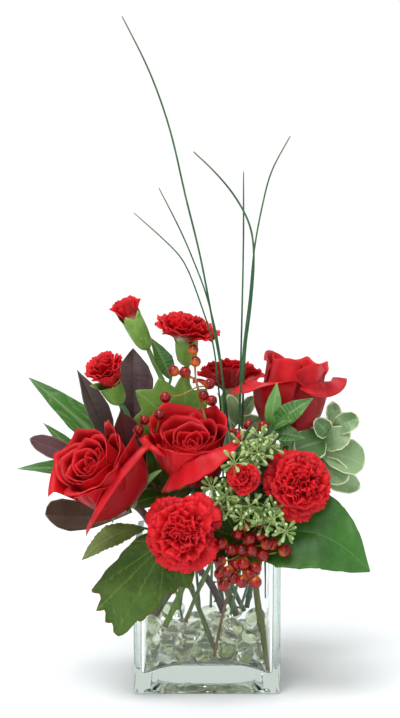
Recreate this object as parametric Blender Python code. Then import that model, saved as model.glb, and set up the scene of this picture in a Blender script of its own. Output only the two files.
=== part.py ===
"""Carnations and roses with foliage, berries and lily grass, arranged in a square glass vase.

Run it with blender --background --python part.py, or from Blender's text editor.
Lengths in the tables are millimetres; the scene is in metres, +Z up. The origin is the middle of the
vase's underside, +X is to the right of the front view and the front of the arrangement faces -Y.
"""

import math

import bmesh
import bpy
from mathutils import Matrix, Vector

MM = 0.001

# Driving dimensions of the vase.
VASE_SIDE = 127.0
VASE_HEIGHT = 127.0
WALL = 6.0
FLOOR_EDGE = 12.0
FLOOR_DOME = 10.0
OUTER_CORNER = 4.0
INNER_CORNER = 7.0
RIM_ROUND = 1.6
FOOT_CHAMFER = 1.5
FLOOR_FILLET = 4.0

# Clearance kept between neighbouring solids.
GAP = 0.4

# The bed of glass gems: its crowns' height and pitch, their rise over the gaps between them, its
# clearance from the walls and the floor, and the number of mesh cells along a side.
GEM_BED_TOP = 52.0
GEM_PITCH = 19.0
GEM_CROWN = 9.0
GEM_WALL_GAP = 2.6
GEM_FLOOR_GAP = 3.0
GEM_CELLS = 14

BERRY_RADIUS = 5.0
HIP_LENGTH = 13.0
LEAF_THICKNESS = 0.9
PETIOLE_RADIUS = 1.3
SHOOT_RADIUS = 0.8

COLOURS = {
    "clear_glass": ((0.86, 0.93, 0.91), 0.03),
    "gem_glass": ((0.80, 0.88, 0.84), 0.05),
    "carnation_petal": ((0.78, 0.02, 0.03), 0.55),
    "rose_petal": ((0.62, 0.01, 0.03), 0.5),
    "calyx": ((0.25, 0.42, 0.12), 0.5),
    "rose_sepal": ((0.16, 0.30, 0.09), 0.5),
    "stem": ((0.20, 0.30, 0.08), 0.5),
    "rose_stem": ((0.20, 0.16, 0.08), 0.5),
    "berry": ((0.45, 0.02, 0.02), 0.12),
    "broad_leaf": ((0.07, 0.25, 0.05), 0.4),
    "viburnum_leaf": ((0.14, 0.30, 0.06), 0.5),
    "dark_leaf": ((0.10, 0.03, 0.03), 0.45),
    "ruscus_leaf": ((0.05, 0.25, 0.07), 0.4),
    "variegated_leaf": ((0.25, 0.42, 0.22), 0.5),
    "eucalyptus": ((0.30, 0.45, 0.20), 0.55),
    "grass_blade": ((0.05, 0.18, 0.06), 0.45),
}

# Outlines of a bloom from its foot to its crown, as (radius, height) in shares of the bloom's radius.
CARNATION_OUTLINES = {
    "open": [(0.20, -0.50), (0.60, -0.40), (0.95, -0.14), (1.0, 0.06), (0.88, 0.30), (0.55, 0.44),
             (0.2, 0.47)],
    "upright": [(0.20, -0.55), (0.55, -0.30), (1.0, -0.12), (0.98, 0.06), (0.72, 0.34), (0.3, 0.46)],
    "half_open": [(0.30, -1.0), (0.62, -0.6), (1.0, 0.1), (1.06, 0.5), (0.85, 0.72), (0.35, 0.78)],
    "closed": [(0.55, -1.30), (0.85, -0.9), (1.0, 0.0), (0.9, 0.9), (0.62, 1.45), (0.3, 1.6)],
}

# name: outline, bloom centre, facing, bloom radius, calyx length, calyx radius, stem radius, stem route
# below the calyx
CARNATIONS = {
    "front": (
        "open", (-19, -94, 151), (-0.05, -0.93, 0.30), 33, 25, 7.5, 2.1,
        [(-15, -34, 127), (-16, -40, 105), (-27, -43, 76), (-37, -44, 55)],
    ),
    "right": (
        "open", (77, -76, 187), (0.30, -0.82, 0.42), 34, 25, 7.5, 2.3,
        [(51, -28, 146), (44, -34, 118), (43, -41, 85), (54, -51, 19)],
    ),
    "top": (
        "upright", (-18, 8, 320), (0.0, -0.10, 1.0), 28, 27, 7.5, 2.0,
        [(-12, 14, 220), (-2, 24, 150), (8, 31, 100), (14, 36, 54)],
    ),
    "back": (
        "upright", (18, 56, 266), (-0.10, 0.30, 1.0), 28, 27, 7.5, 2.0,
        [(30, 38, 170), (41, 32, 120), (42, 30, 90), (36, 30, 54)],
    ),
    "mini": (
        "open", (33, -101, 198), (-0.10, -0.92, 0.30), 15, 17, 5.0, 1.5,
        [(32, -60, 180), (24, -46, 152), (12, -31, 124), (-4, -27, 92), (-19, -24, 55)],
    ),
    "left": (
        "half_open", (-91, -28, 277), (-0.42, -0.40, 0.82), 16, 20, 6.5, 1.8,
        [(-60, -1, 208), (-28, 7, 155), (6, 13, 110), (33, 19, 54)],
    ),
    "bud": (
        "closed", (-71, 5, 329), (-0.44, -0.10, 0.89), 10.5, 27, 7.0, 1.8,
        [(-38, 10, 256), (-30, 2, 200), (-23, -24, 140), (-18, -35, 100), (7, -39, 34)],
    ),
}

# name: middle of the open face, facing, cup radius, cup depth, spread of the outer petals as a share of the
# cup radius, how far down the cup they spread as a share of its depth, stem route below the hip
ROSES = {
    "left": (
        (-100, -82, 206), (-0.56, -0.52, 0.64), 29, 54, 1.12, 0.14,
        [(-44, -28, 136), (-20, -10, 110), (1, 2, 86), (15, 10, 55)],
    ),
    "centre": (
        (-15, -64, 225), (-0.09, -0.53, 0.84), 31, 54, 1.05, 0.14,
        [(-6, -22, 150), (6, -13, 118), (16, -7, 84), (26, -3, 55)],
    ),
    "right": (
        (73, 4, 282), (0.05, 0.10, 0.99), 27, 62, 1.42, 0.36,
        [(62, -4, 190), (36, -14, 158), (3, -24, 122), (-25, -26, 92), (-46, -31, 62)],
    ),
}
ROSE_STEM_RADIUS = 2.7

# name: route from the cut end in the vase up to the tip, width of the blade
GRASS = {
    "tall": (
        [(22, 4, 118), (21, 2, 180), (16, -7, 252), (5, -13, 318), (-6, -7, 376), (-19, 2, 428),
         (-32, 8, 484), (-50, 10, 535), (-74, 10, 583)], 3.2,
    ),
    "left_high": (
        [(18, -12, 118), (17, -11, 200), (12, -14, 285), (1, -16, 337), (-11, -12, 370), (-24, -10, 400),
         (-42, -6, 435)], 1.7,
    ),
    "left_low": (
        [(14, 8, 122), (14, 6, 210), (9, -6, 270), (5, -9, 300), (-4, -13, 330), (-19, -2, 368),
         (-37, 8, 388), (-65, 20, 412)], 1.7,
    ),
    "arched": (
        [(32, 7, 122), (31, 6, 200), (33, 0, 285), (38, 0, 328), (41, 0, 370), (38, 0, 400),
         (25, 0, 426), (7, 0, 448), (-12, 0, 466)], 3.4,
    ),
    "upright": (
        [(27, 11, 122), (28, 11, 200), (30, 10, 285), (32, 12, 380), (32, 12, 449)], 3.0,
    ),
    "right_high": (
        [(31, -8, 126), (28, -10, 200), (31, -10, 285), (37, -10, 337), (41, -10, 381), (48, -12, 420),
         (56, -13, 450), (72, -14, 480)], 2.6,
    ),
}
GRASS_THICKNESS = 1.1

# name: stalk route from its lower end, then the berries' centres
BERRY_SPRAYS = {
    "top": (
        [(4, -30, 172), (4, -25, 210), (-4, -22, 245), (-10, -22, 270)],
        [(-12, -14, 294), (-10, -16, 284), (-29, -18, 276), (-19, -20, 275), (2, -22, 265),
         (-36, -32, 255), (-3, -24, 255), (4, -26, 251)],
    ),
    "left": (
        [(-33, -16, 150), (-40, -22, 190), (-44, -32, 224)],
        [(-41, -42, 241), (-54, -46, 237), (-59, -50, 229)],
    ),
    "middle": (
        [(34, -30, 168), (38, -36, 200), (38, -42, 226)],
        [(27, -52, 226), (36, -49, 233), (48, -48, 232), (30, -62, 221)],
    ),
    "low": (
        [(6, -50, 30), (12, -51, 60), (20, -52, 95), (27, -53, 132), (31, -72, 140), (31, -80, 128)],
        [(12, -82, 137), (11, -84, 122), (11, -84, 111), (18, -88, 114), (14, -88, 102), (30, -82, 131),
         (31, -86, 120), (47, -82, 127), (41, -84, 116), (30, -90, 106), (41, -88, 105), (33, -80, 152),
         (45, -80, 143), (56, -80, 136), (66, -84, 131), (36, -84, 141)],
    ),
}
SPRAY_STALK_RADIUS = 1.3
PEDICEL_RADIUS = 0.7

# name: petiole route, base, tip, greatest width, direction the upper side faces, bow, cup, outline, colour
LEAVES = {
    "salal_leaf_right": (
        [(53, 2, 70), (52, -18, 98), (50, -42, 131)], (48, -56, 140), (140, -72, 118),
        62, (0.1, -0.89, 0.44), 13, 0.08, "oval", "broad_leaf",
    ),
    "salal_leaf_back_left": (
        [(-12, 30, 112), (-20, 42, 136)], (-26, 54, 148), (-66, 92, 214),
        58, (-0.20, -0.60, 0.75), 10, 0.10, "oval", "broad_leaf",
    ),
    "salal_leaf_back_right": (
        [(34, 46, 112), (46, 50, 132)], (54, 56, 142), (92, 86, 196),
        54, (0.25, -0.60, 0.75), 10, 0.10, "oval", "broad_leaf",
    ),
    "viburnum_leaf_front": (
        [(-37, -14, 112), (-34, -44, 130)], (-34, -68, 137), (-88, -86, 68),
        74, (-0.45, -0.85, 0.25), 10, 0.06, "broad", "viburnum_leaf",
    ),
    "viburnum_leaf_side": (
        [(-46, -18, 118), (-48, -34, 136)], (-54, -44, 142), (-108, -58, 117),
        20, (-0.15, -0.75, 0.65), 12, 0.08, "lance", "viburnum_leaf",
    ),
    "viburnum_leaf_lobed": (
        [(-17, -6, 160), (-18, -8, 200)], (-18, -10, 222), (-56, -16, 254),
        44, (0.2, -0.9, 0.2), 6, 0.05, "broad", "viburnum_leaf",
    ),
    "leucadendron_leaf_west": (
        [], (-86, -9, 182), (-155, -16, 216), 19, (-0.2, -0.85, 0.5), 4, 0.15, "paddle", "dark_leaf",
    ),
    "leucadendron_leaf_low": (
        [], (-67, -17, 158), (-139, -52, 156), 29, (-0.2, -0.85, 0.5), -8, 0.15, "paddle", "dark_leaf",
    ),
    "leucadendron_leaf_upper": (
        [], (-83, -8, 206), (-113, -14, 276), 21, (0.4, -0.9, 0.1), 4, 0.15, "lance", "dark_leaf",
    ),
    "leucadendron_leaf_tall": (
        [], (-64, 6, 212), (-66, 22, 291), 36, (0.1, -0.95, 0.2), 3, 0.12, "paddle", "dark_leaf",
    ),
    "leucadendron_leaf_inner": (
        [], (-66, -14, 190), (-75, -34, 243), 20, (0.3, -0.95, 0.2), 2, 0.15, "paddle", "dark_leaf",
    ),
    "leucadendron_leaf_dark": (
        [], (-44, -8, 158), (-48, -14, 226), 28, (0.1, -1.0, 0.1), 2, 0.12, "paddle", "dark_leaf",
    ),
}
LEUCADENDRON_STEM = [
    (-26, 20, 55), (-23, 16, 90), (-32, 6, 130), (-56, 2, 166), (-73, -3, 196), (-72, 6, 214),
]
LEUCADENDRON_STEM_RADIUS = 2.2

# Leaf sprigs, each grown as one piece: the routes of its main stalk and side shoots, then each leaf's base,
# tip and width, the direction that the leaves face, and their colour
SPRIGS = {
    "ruscus_sprig_left": (
        [[(-22, -14, 55), (-33, 2, 100), (-44, 20, 150), (-44, 22, 200), (-39, 24, 240), (-32, 24, 264)],
         [(-44, 20, 150), (-64, 17, 176), (-86, 12, 202)],
         [(-64, 17, 176), (-84, 12, 181), (-104, 8, 184)]],
        [((-85, 12, 201), (-157, 8, 267), 26), ((-103, 8, 184), (-167, -6, 188), 15),
         ((-32, 24, 263), (-50, 24, 301), 17)],
        (0.2, -0.9, 0.45), "ruscus_leaf",
    ),
    "ruscus_sprig_right": (
        [[(38, -22, 142), (46, -26, 180), (52, -34, 214), (54, -38, 232)]],
        [((54, -38, 228), (60, -46, 269), 14), ((54, -38, 230), (90, -54, 257), 18),
         ((54, -38, 227), (80, -52, 244), 11), ((54, -37, 224), (84, -46, 222), 16)],
        (0.1, -0.9, 0.4), "ruscus_leaf",
    ),
    "pittosporum_sprig_right": (
        [[(54, 14, 136), (72, 8, 168), (96, 2, 196), (111, 0, 224)]],
        [((111, 0, 224), (111, -1, 246), 12), ((110, 0, 221), (130, -5, 233), 16),
         ((107, 0, 217), (95, -16, 232), 15), ((104, 0, 211), (80, -24, 206), 25),
         ((102, 0, 206), (124, -8, 216), 18), ((100, 1, 203), (140, 0, 187), 28),
         ((92, 3, 191), (122, -12, 181), 18), ((88, 4, 187), (134, 4, 170), 17)],
        (0.1, -0.95, 0.3), "variegated_leaf",
    ),
    "pittosporum_sprig_centre": (
        [[(6, 24, 150), (10, 24, 190), (20, 22, 214), (30, 20, 228)]],
        [((30, 20, 227), (42, 14, 249), 13), ((26, 21, 222), (20, 14, 250), 14),
         ((20, 22, 214), (5, 14, 234), 16), ((28, 20, 224), (50, 10, 226), 15)],
        (0.0, -0.9, 0.4), "variegated_leaf",
    ),
}
SPRIG_STALK_RADIUS = 1.4
SPRIG_LEAF_THICKNESS = 1.4

# Seeded eucalyptus: the stalk, then the centres and radii of its seed umbels.
EUCALYPTUS_STALK = [(14, -36, 140), (20, -54, 158), (22, -72, 176), (26, -76, 198), (34, -74, 216)]
EUCALYPTUS_UMBELS = [
    ((46, -72, 226), 8), ((36, -80, 214), 8), ((22, -84, 208), 6), ((43, -84, 215), 6), ((4, -88, 186), 6),
    ((16, -92, 180), 7), ((36, -96, 172), 7), ((54, -96, 160), 8), ((66, -96, 150), 7), ((30, -98, 162), 5),
]


# A blade's section: (share of its half width, share of its half thickness), and its half width along it.
BLADE_SECTION = [(-1, 0), (-0.55, 1), (0, 1), (0.55, 1), (1, 0), (0.55, -1), (0, -1), (-0.55, -1)]
OUTLINES = {
    "oval": lambda t: math.sin(math.pi * t ** 0.8) ** 0.75,
    "broad": lambda t: math.sin(math.pi * t ** 0.62) ** 0.6,
    "lance": lambda t: math.sin(math.pi * t ** 0.85),
    "paddle": lambda t: math.sin(math.pi * (0.06 + 0.94 * t) ** 1.35) ** 0.7,
}


def mm(point):
    """A point given in millimetres, as a Vector in metres."""
    return Vector(point) * MM


def clear_scene():
    for obj in list(bpy.data.objects):
        bpy.data.objects.remove(obj, do_unlink=True)


def material(name):
    """The Principled material of that name, made the first time it is asked for."""
    found = bpy.data.materials.get(name)
    if found:
        return found
    colour, roughness = COLOURS[name]
    made = bpy.data.materials.new(name)
    made.use_nodes = True
    shader = made.node_tree.nodes["Principled BSDF"]
    shader.inputs["Base Color"].default_value = (*colour, 1.0)
    shader.inputs["Roughness"].default_value = roughness
    shader.inputs["Metallic"].default_value = 0.0
    if "glass" in name:
        shader.inputs["Transmission Weight"].default_value = 1.0
    return made


def add_object(name, mesh_data, colour):
    """Links one smooth-shaded object to the scene."""
    mesh_data.shade_smooth()
    mesh_data.set_sharp_from_angle(angle=math.radians(50))
    mesh_data.materials.append(material(colour))
    obj = bpy.data.objects.new(name, mesh_data)
    bpy.context.scene.collection.objects.link(obj)
    return obj


def lofted_mesh(name, rings):
    """A closed mesh through equal rings of points, with its two ends capped."""
    bm = bmesh.new()
    loops = [[bm.verts.new(p) for p in ring] for ring in rings]
    count = len(loops[0])
    for lower, upper in zip(loops, loops[1:]):
        for i in range(count):
            j = (i + 1) % count
            bm.faces.new((lower[i], lower[j], upper[j], upper[i]))
    bm.faces.new(list(reversed(loops[0])))
    bm.faces.new(loops[-1])
    bmesh.ops.recalc_face_normals(bm, faces=bm.faces)
    data = bpy.data.meshes.new(name)
    bm.to_mesh(data)
    bm.free()
    return data


def spline(points, per_span):
    """Points along a Catmull-Rom curve through the given ones."""
    ends = [points[0] * 2 - points[1], *points, points[-1] * 2 - points[-2]]
    curve = []
    for a, b, c, d in zip(ends, ends[1:], ends[2:], ends[3:]):
        for k in range(per_span):
            t = k / per_span
            bend = a * 2 - b * 5 + c * 4 - d
            twist = b * 3 - a - c * 3 + d
            curve.append((b * 2 + (c - a) * t + bend * t ** 2 + twist * t ** 3) / 2)
    curve.append(points[-1])
    return curve


def tube_rings(points, radii, sides, flat=1.0):
    """Rings round a route; flat under 1 squeezes them across the view, as on a blade of grass."""
    side = Vector((1, 0, 0))
    rings = []
    for i, point in enumerate(points):
        along = (points[min(i + 1, len(points) - 1)] - points[max(i - 1, 0)]).normalized()
        side = (side - along * side.dot(along)).normalized()
        across = along.cross(side)
        rings.append(
            [
                point
                + side * (radii[i] * math.cos(2 * math.pi * k / sides))
                + across * (radii[i] * flat * math.sin(2 * math.pi * k / sides))
                for k in range(sides)
            ]
        )
    return rings


def tube_mesh(name, route, radius, sides=8, per_span=3):
    """A round tube along a smooth route."""
    points = spline([mm(p) for p in route], per_span)
    return lofted_mesh(name, tube_rings(points, [radius * MM] * len(points), sides))


def turned_mesh(name, profile, centre, axis, sides, wave=None):
    """A turned body; profile is (radius, height) pairs in millimetres; wave scales the radius by angle."""
    turn = Vector((0, 0, 1)).rotation_difference(Vector(axis)).to_matrix()
    rings = []
    for radius, height in profile:
        ring = []
        for k in range(sides):
            angle = 2 * math.pi * k / sides
            reach = radius * (wave(angle) if wave else 1.0)
            ring.append(mm(centre) + turn @ mm((reach * math.cos(angle), reach * math.sin(angle), height)))
        rings.append(ring)
    return lofted_mesh(name, rings)


def union_object(name, meshes, colour):
    """Joins overlapping closed meshes into one body with an exact Boolean union."""
    pieces = bpy.data.collections.new(name + "_pieces")
    bpy.context.scene.collection.children.link(pieces)
    for number, data in enumerate(meshes[1:]):
        piece = bpy.data.objects.new(f"{name}_piece_{number}", data)
        piece.hide_render = True
        piece.display_type = "WIRE"
        pieces.objects.link(piece)
    obj = add_object(name, meshes[0], colour)
    union = obj.modifiers.new("join pieces", "BOOLEAN")
    union.operation = "UNION"
    union.operand_type = "COLLECTION"
    union.collection = pieces
    union.solver = "EXACT"
    return obj


def rounded_square(half, corner, z, steps=4):
    """A loop round a square of half-width half with rounded corners, at height z, in metres."""
    loop = []
    for quarter in range(4):
        diagonal = math.radians(45 + 90 * quarter)
        x = math.copysign(half - corner, math.cos(diagonal))
        y = math.copysign(half - corner, math.sin(diagonal))
        for k in range(steps):
            angle = math.radians(90 * quarter + 90 * k / (steps - 1))
            loop.append(mm((x + corner * math.cos(angle), y + corner * math.sin(angle), z)))
    return loop


def floor_height(x, y):
    """Height of the domed glass floor inside the vase."""
    half = VASE_SIDE / 2 - WALL
    inward = (1 - (x / half) ** 2) * (1 - (y / half) ** 2)
    return FLOOR_EDGE + FLOOR_DOME * max(0.0, inward) ** 0.7


def build_vase():
    """One pressed-glass body: outside up to the rim, down the inside, and in over the domed floor."""
    outer = VASE_SIDE / 2
    inner = outer - WALL
    rings = [
        rounded_square(outer - FOOT_CHAMFER, OUTER_CORNER - FOOT_CHAMFER, 0),
        rounded_square(outer, OUTER_CORNER, FOOT_CHAMFER),
        rounded_square(outer, OUTER_CORNER, VASE_HEIGHT - RIM_ROUND),
        rounded_square(outer - RIM_ROUND, OUTER_CORNER, VASE_HEIGHT),
        rounded_square(inner + RIM_ROUND, INNER_CORNER, VASE_HEIGHT),
        rounded_square(inner, INNER_CORNER, VASE_HEIGHT - RIM_ROUND),
        rounded_square(inner, INNER_CORNER, FLOOR_EDGE + FLOOR_FILLET),
        rounded_square(inner - FLOOR_FILLET / 3, INNER_CORNER, FLOOR_EDGE + FLOOR_FILLET / 4),
    ]
    for share in (0.93, 0.75, 0.5, 0.25):
        loop = rounded_square(inner * share, INNER_CORNER * share, 0)
        for point in loop:
            point.z = floor_height(point.x / MM, point.y / MM) * MM
        rings.append(loop)
    add_object("glass_vase", lofted_mesh("glass_vase", rings), "clear_glass")


def gem_height(x, y):
    """Height of the bed's top: the crowns of clear glass gems on a staggered grid."""
    row = round(y / GEM_PITCH)
    shift = GEM_PITCH / 2 * (row % 2)
    column = round((x - shift) / GEM_PITCH)
    dx = (x - shift - column * GEM_PITCH) / GEM_PITCH
    dy = (y - row * GEM_PITCH) / GEM_PITCH
    return GEM_BED_TOP - GEM_CROWN * (dx * dx + dy * dy)


def build_gem_bed(stem_routes):
    """The bed of clear glass gems as one body, open where stems stand in it."""
    half = VASE_SIDE / 2 - WALL - GEM_WALL_GAP
    cells = GEM_CELLS
    bm = bmesh.new()
    layers = []
    for top in (False, True):
        grid = []
        for i in range(cells + 1):
            for j in range(cells + 1):
                x = half * (2 * i / cells - 1)
                y = half * (2 * j / cells - 1)
                z = gem_height(x, y) if top else floor_height(x, y) + GEM_FLOOR_GAP
                grid.append(bm.verts.new(mm((x, y, z))))
        layers.append(grid)

    def at(i, j):
        return i * (cells + 1) + j

    for i in range(cells):
        for j in range(cells):
            square = [at(i, j), at(i + 1, j), at(i + 1, j + 1), at(i, j + 1)]
            bm.faces.new([layers[1][k] for k in square])
            bm.faces.new([layers[0][k] for k in reversed(square)])
    edge = [at(i, 0) for i in range(cells)] + [at(cells, j) for j in range(cells)]
    edge += [at(i, cells) for i in range(cells, 0, -1)] + [at(0, j) for j in range(cells, 0, -1)]
    for a, b in zip(edge, edge[1:] + edge[:1]):
        bm.faces.new((layers[0][a], layers[0][b], layers[1][b], layers[1][a]))
    bmesh.ops.recalc_face_normals(bm, faces=bm.faces)
    data = bpy.data.meshes.new("glass_gem_bed")
    bm.to_mesh(data)
    bm.free()
    bed = add_object("glass_gem_bed", data, "gem_glass")
    for name, (route, radius) in stem_routes.items():
        cutter = bpy.data.objects.new("clearance_" + name, tube_mesh("clearance", route, radius + GAP))
        bpy.context.scene.collection.objects.link(cutter)
        cutter.hide_render = True
        cutter.display_type = "WIRE"
        cut = bed.modifiers.new("room for " + name, "BOOLEAN")
        cut.operation = "DIFFERENCE"
        cut.solver = "EXACT"
        cut.object = cutter


def petal_wave(lobes, depth):
    """Scales a bloom's radius so that its edge is lobed like overlapping petals."""
    return lambda angle: 1.0 - depth * (0.5 + 0.5 * math.cos(lobes * angle))


def build_carnation(name, outline, centre, facing, radius, calyx_length, calyx_radius, stem_radius, route):
    """Bloom, calyx and stem, each with a small gap to the next along the flower's axis."""
    axis = Vector(facing).normalized()
    profile = [(r * radius, h * radius) for r, h in CARNATION_OUTLINES[outline]]
    sides = 16 if radius > 20 else 12
    wave = petal_wave(sides // 2, 0.05)
    bloom = turned_mesh("carnation_" + name + "_bloom", profile, centre, axis, sides, wave)
    add_object("carnation_" + name + "_bloom", bloom, "carnation_petal")
    top = Vector(centre) + axis * (profile[0][1] - GAP)
    calyx_profile = [
        (stem_radius + 0.3, -calyx_length),
        (calyx_radius * 0.72, -calyx_length * 0.86),
        (calyx_radius * 0.95, -calyx_length * 0.5),
        (calyx_radius * 0.98, -calyx_length * 0.25),
        (calyx_radius * 0.9, 0.0),
    ]
    calyx = turned_mesh("carnation_" + name + "_calyx", calyx_profile, top, axis, 10)
    add_object("carnation_" + name + "_calyx", calyx, "calyx")
    start = top - axis * (calyx_length + GAP)
    full_route = [tuple(start), tuple(start - axis * 3), tuple(start - axis * 11), *route]
    stem = tube_mesh("carnation_" + name + "_stem", full_route, stem_radius, 8, 2)
    add_object("carnation_" + name + "_stem", stem, "stem")
    return full_route


def build_rose(name, centre, facing, radius, depth, spread, spread_at, route):
    """Cupped bloom, the hip with its sepals, and the stem."""
    axis = Vector(facing).normalized()
    profile = [
        (radius * 0.26, -depth), (radius * 0.66, -depth * 0.86), (radius * 0.92, -depth * 0.62),
        (radius * spread, -depth * spread_at), (radius * 0.98, -depth * (spread_at - 0.10)),
        (radius * 0.90, 0.0), (radius * 0.66, 4.0), (radius * 0.3, 2.0),
    ]
    bloom = turned_mesh("rose_" + name + "_bloom", profile, centre, axis, 15, petal_wave(5, 0.06))
    add_object("rose_" + name + "_bloom", bloom, "rose_petal")
    top = Vector(centre) - axis * (depth + GAP)
    hip_profile = [
        (ROSE_STEM_RADIUS + 0.3, -HIP_LENGTH), (5.0, -10.5), (6.2, -6.0), (6.0, -2.5),
        (radius * 0.42, -1.2), (radius * 0.40, 0.0),
    ]
    hip = turned_mesh("rose_" + name + "_sepals", hip_profile, top, axis, 10, petal_wave(5, 0.12))
    add_object("rose_" + name + "_sepals", hip, "rose_sepal")
    start = top - axis * (HIP_LENGTH + GAP)
    full_route = [tuple(start), tuple(start - axis * 3), tuple(start - axis * 12), *route]
    stem = tube_mesh("rose_" + name + "_stem", full_route, ROSE_STEM_RADIUS, 8, 2)
    add_object("rose_" + name + "_stem", stem, "rose_stem")
    return full_route


def build_grass(name, route, width):
    """A long blade, widest near its foot and drawn out to a fine tip."""
    points = spline([mm(p) for p in route], 3)
    last = len(points) - 1
    radii = [width * MM * 0.5 * (1.0 - 0.72 * (i / last) ** 1.6) for i in range(len(points))]
    data = lofted_mesh(name, tube_rings(points, radii, 6, GRASS_THICKNESS / width))
    add_object("lily_grass_" + name, data, "grass_blade")


def ball_mesh(centre, radius, stretch=1.0):
    """A closed ball, coarse enough for a berry."""
    bm = bmesh.new()
    bmesh.ops.create_icosphere(bm, subdivisions=1, radius=radius * MM)
    bmesh.ops.scale(bm, vec=(1, 1, stretch), verts=bm.verts)
    bmesh.ops.translate(bm, vec=mm(centre), verts=bm.verts)
    data = bpy.data.meshes.new("ball")
    bm.to_mesh(data)
    bm.free()
    return data


def nearest_on_route(route, point):
    """The point of the finely sampled route that is nearest to point, in millimetres."""
    samples = [p / MM for p in spline([mm(p) for p in route], 8)]
    return min(samples, key=lambda p: (p - Vector(point)).length)


def build_berry_spray(name, route, berries):
    """A stalk, and a pedicel out to each berry, grown together as one body."""
    shells = [tube_mesh("stalk", route, SPRAY_STALK_RADIUS, 6)]
    for berry in berries:
        foot = nearest_on_route(route, berry)
        reach = Vector(berry) - foot
        bend = foot + reach * 0.5 - Vector((0, 0, 0.08 * reach.length))
        shells.append(tube_mesh("pedicel", [tuple(foot), tuple(bend), berry], PEDICEL_RADIUS, 4, 1))
        shells.append(ball_mesh(berry, BERRY_RADIUS))
    union_object("viburnum_berries_" + name, shells, "berry")


def leaf_mesh(name, base, tip, width, face, bow, cup, outline, thickness, stations=8):
    """A thin closed blade from base to tip, bowed along its length and cupped across it."""
    base, tip = mm(base), mm(tip)
    along = (tip - base).normalized()
    up = Vector(face)
    up = (up - along * up.dot(along)).normalized()
    side = along.cross(up)
    spread = OUTLINES[outline]
    half_thick = thickness * MM / 2
    rings = []
    for s in range(stations):
        t = 0.985 * s / (stations - 1)
        middle = base.lerp(tip, t) + up * (bow * MM * math.sin(math.pi * t))
        half = max(width * MM / 2 * spread(t), 1.2 * MM)
        ring = []
        for across, lift in BLADE_SECTION:
            rise = cup * width * MM * (spread(t) * abs(across)) ** 2
            ring.append(middle + side * (half * across) + up * (rise + lift * half_thick))
        rings.append(ring)
    return lofted_mesh(name, rings)


def build_leaf(name, petiole, base, tip, width, face, bow, cup, outline, colour):
    """A leaf blade, with its petiole joined on where it has one that shows."""
    blade = leaf_mesh(name, base, tip, width, face, bow, cup, outline, LEAF_THICKNESS)
    if not petiole:
        add_object(name, blade, colour)
        return
    inside = tuple(Vector(base).lerp(Vector(tip), 0.10))
    stalk = tube_mesh("petiole", [*petiole, base, inside], PETIOLE_RADIUS, 6)
    union_object(name, [blade, stalk], colour)


def build_sprig(name, routes, leaves, face, colour):
    """A stalk with side shoots and several leaves, grown as one piece."""
    shells = [tube_mesh("stalk", route, SPRIG_STALK_RADIUS, 6, 2) for route in routes]
    for base, tip, width in leaves:
        feet = [nearest_on_route(route, base) for route in routes]
        foot = min(feet, key=lambda p: (p - Vector(base)).length)
        foot = foot - (Vector(tip) - foot).normalized()
        shells.append(leaf_mesh("blade", foot, tip, width, face, 3, 0.10, "lance", SPRIG_LEAF_THICKNESS, 6))
    union_object(name, shells, colour)


def build_eucalyptus():
    """A stalk whose side shoots carry umbels of seeds; each umbel is one ball here."""
    shells = [tube_mesh("stalk", EUCALYPTUS_STALK, SPRIG_STALK_RADIUS, 6)]
    for centre, radius in EUCALYPTUS_UMBELS:
        foot = nearest_on_route(EUCALYPTUS_STALK, centre)
        middle = foot.lerp(Vector(centre), 0.5)
        shells.append(tube_mesh("shoot", [tuple(foot), tuple(middle), centre], SHOOT_RADIUS, 4, 1))
        shells.append(ball_mesh(centre, radius, 0.8))
    union_object("seeded_eucalyptus", shells, "eucalyptus")


def main():
    clear_scene()
    build_vase()
    stems = {}
    for name, spec in CARNATIONS.items():
        stems["carnation_" + name] = (build_carnation(name, *spec), spec[6])
    for name, spec in ROSES.items():
        stems["rose_" + name] = (build_rose(name, *spec), ROSE_STEM_RADIUS)
    for name, spec in GRASS.items():
        build_grass(name, *spec)
    for name, spec in BERRY_SPRAYS.items():
        build_berry_spray(name, *spec)
    for name, spec in LEAVES.items():
        build_leaf(name, *spec)
    leucadendron = tube_mesh("leucadendron_stem", LEUCADENDRON_STEM, LEUCADENDRON_STEM_RADIUS)
    add_object("leucadendron_stem", leucadendron, "stem")
    for name, spec in SPRIGS.items():
        build_sprig(name, *spec)
    build_eucalyptus()
    in_bed = {
        name: (route, radius)
        for name, (route, radius) in stems.items()
        if route[-1][2] < GEM_BED_TOP - 2
    }
    in_bed["viburnum_berries_low"] = (BERRY_SPRAYS["low"][0], SPRAY_STALK_RADIUS)
    build_gem_bed(in_bed)


main()
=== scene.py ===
"""How the arrangement of carnations, roses, foliage and berries in its glass vase looks.

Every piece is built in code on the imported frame: places come from the CAD nodes' own boxes and vertices.
Lengths in the tables are millimetres and angles are degrees, unless a comment says otherwise.
"""

import math

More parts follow.
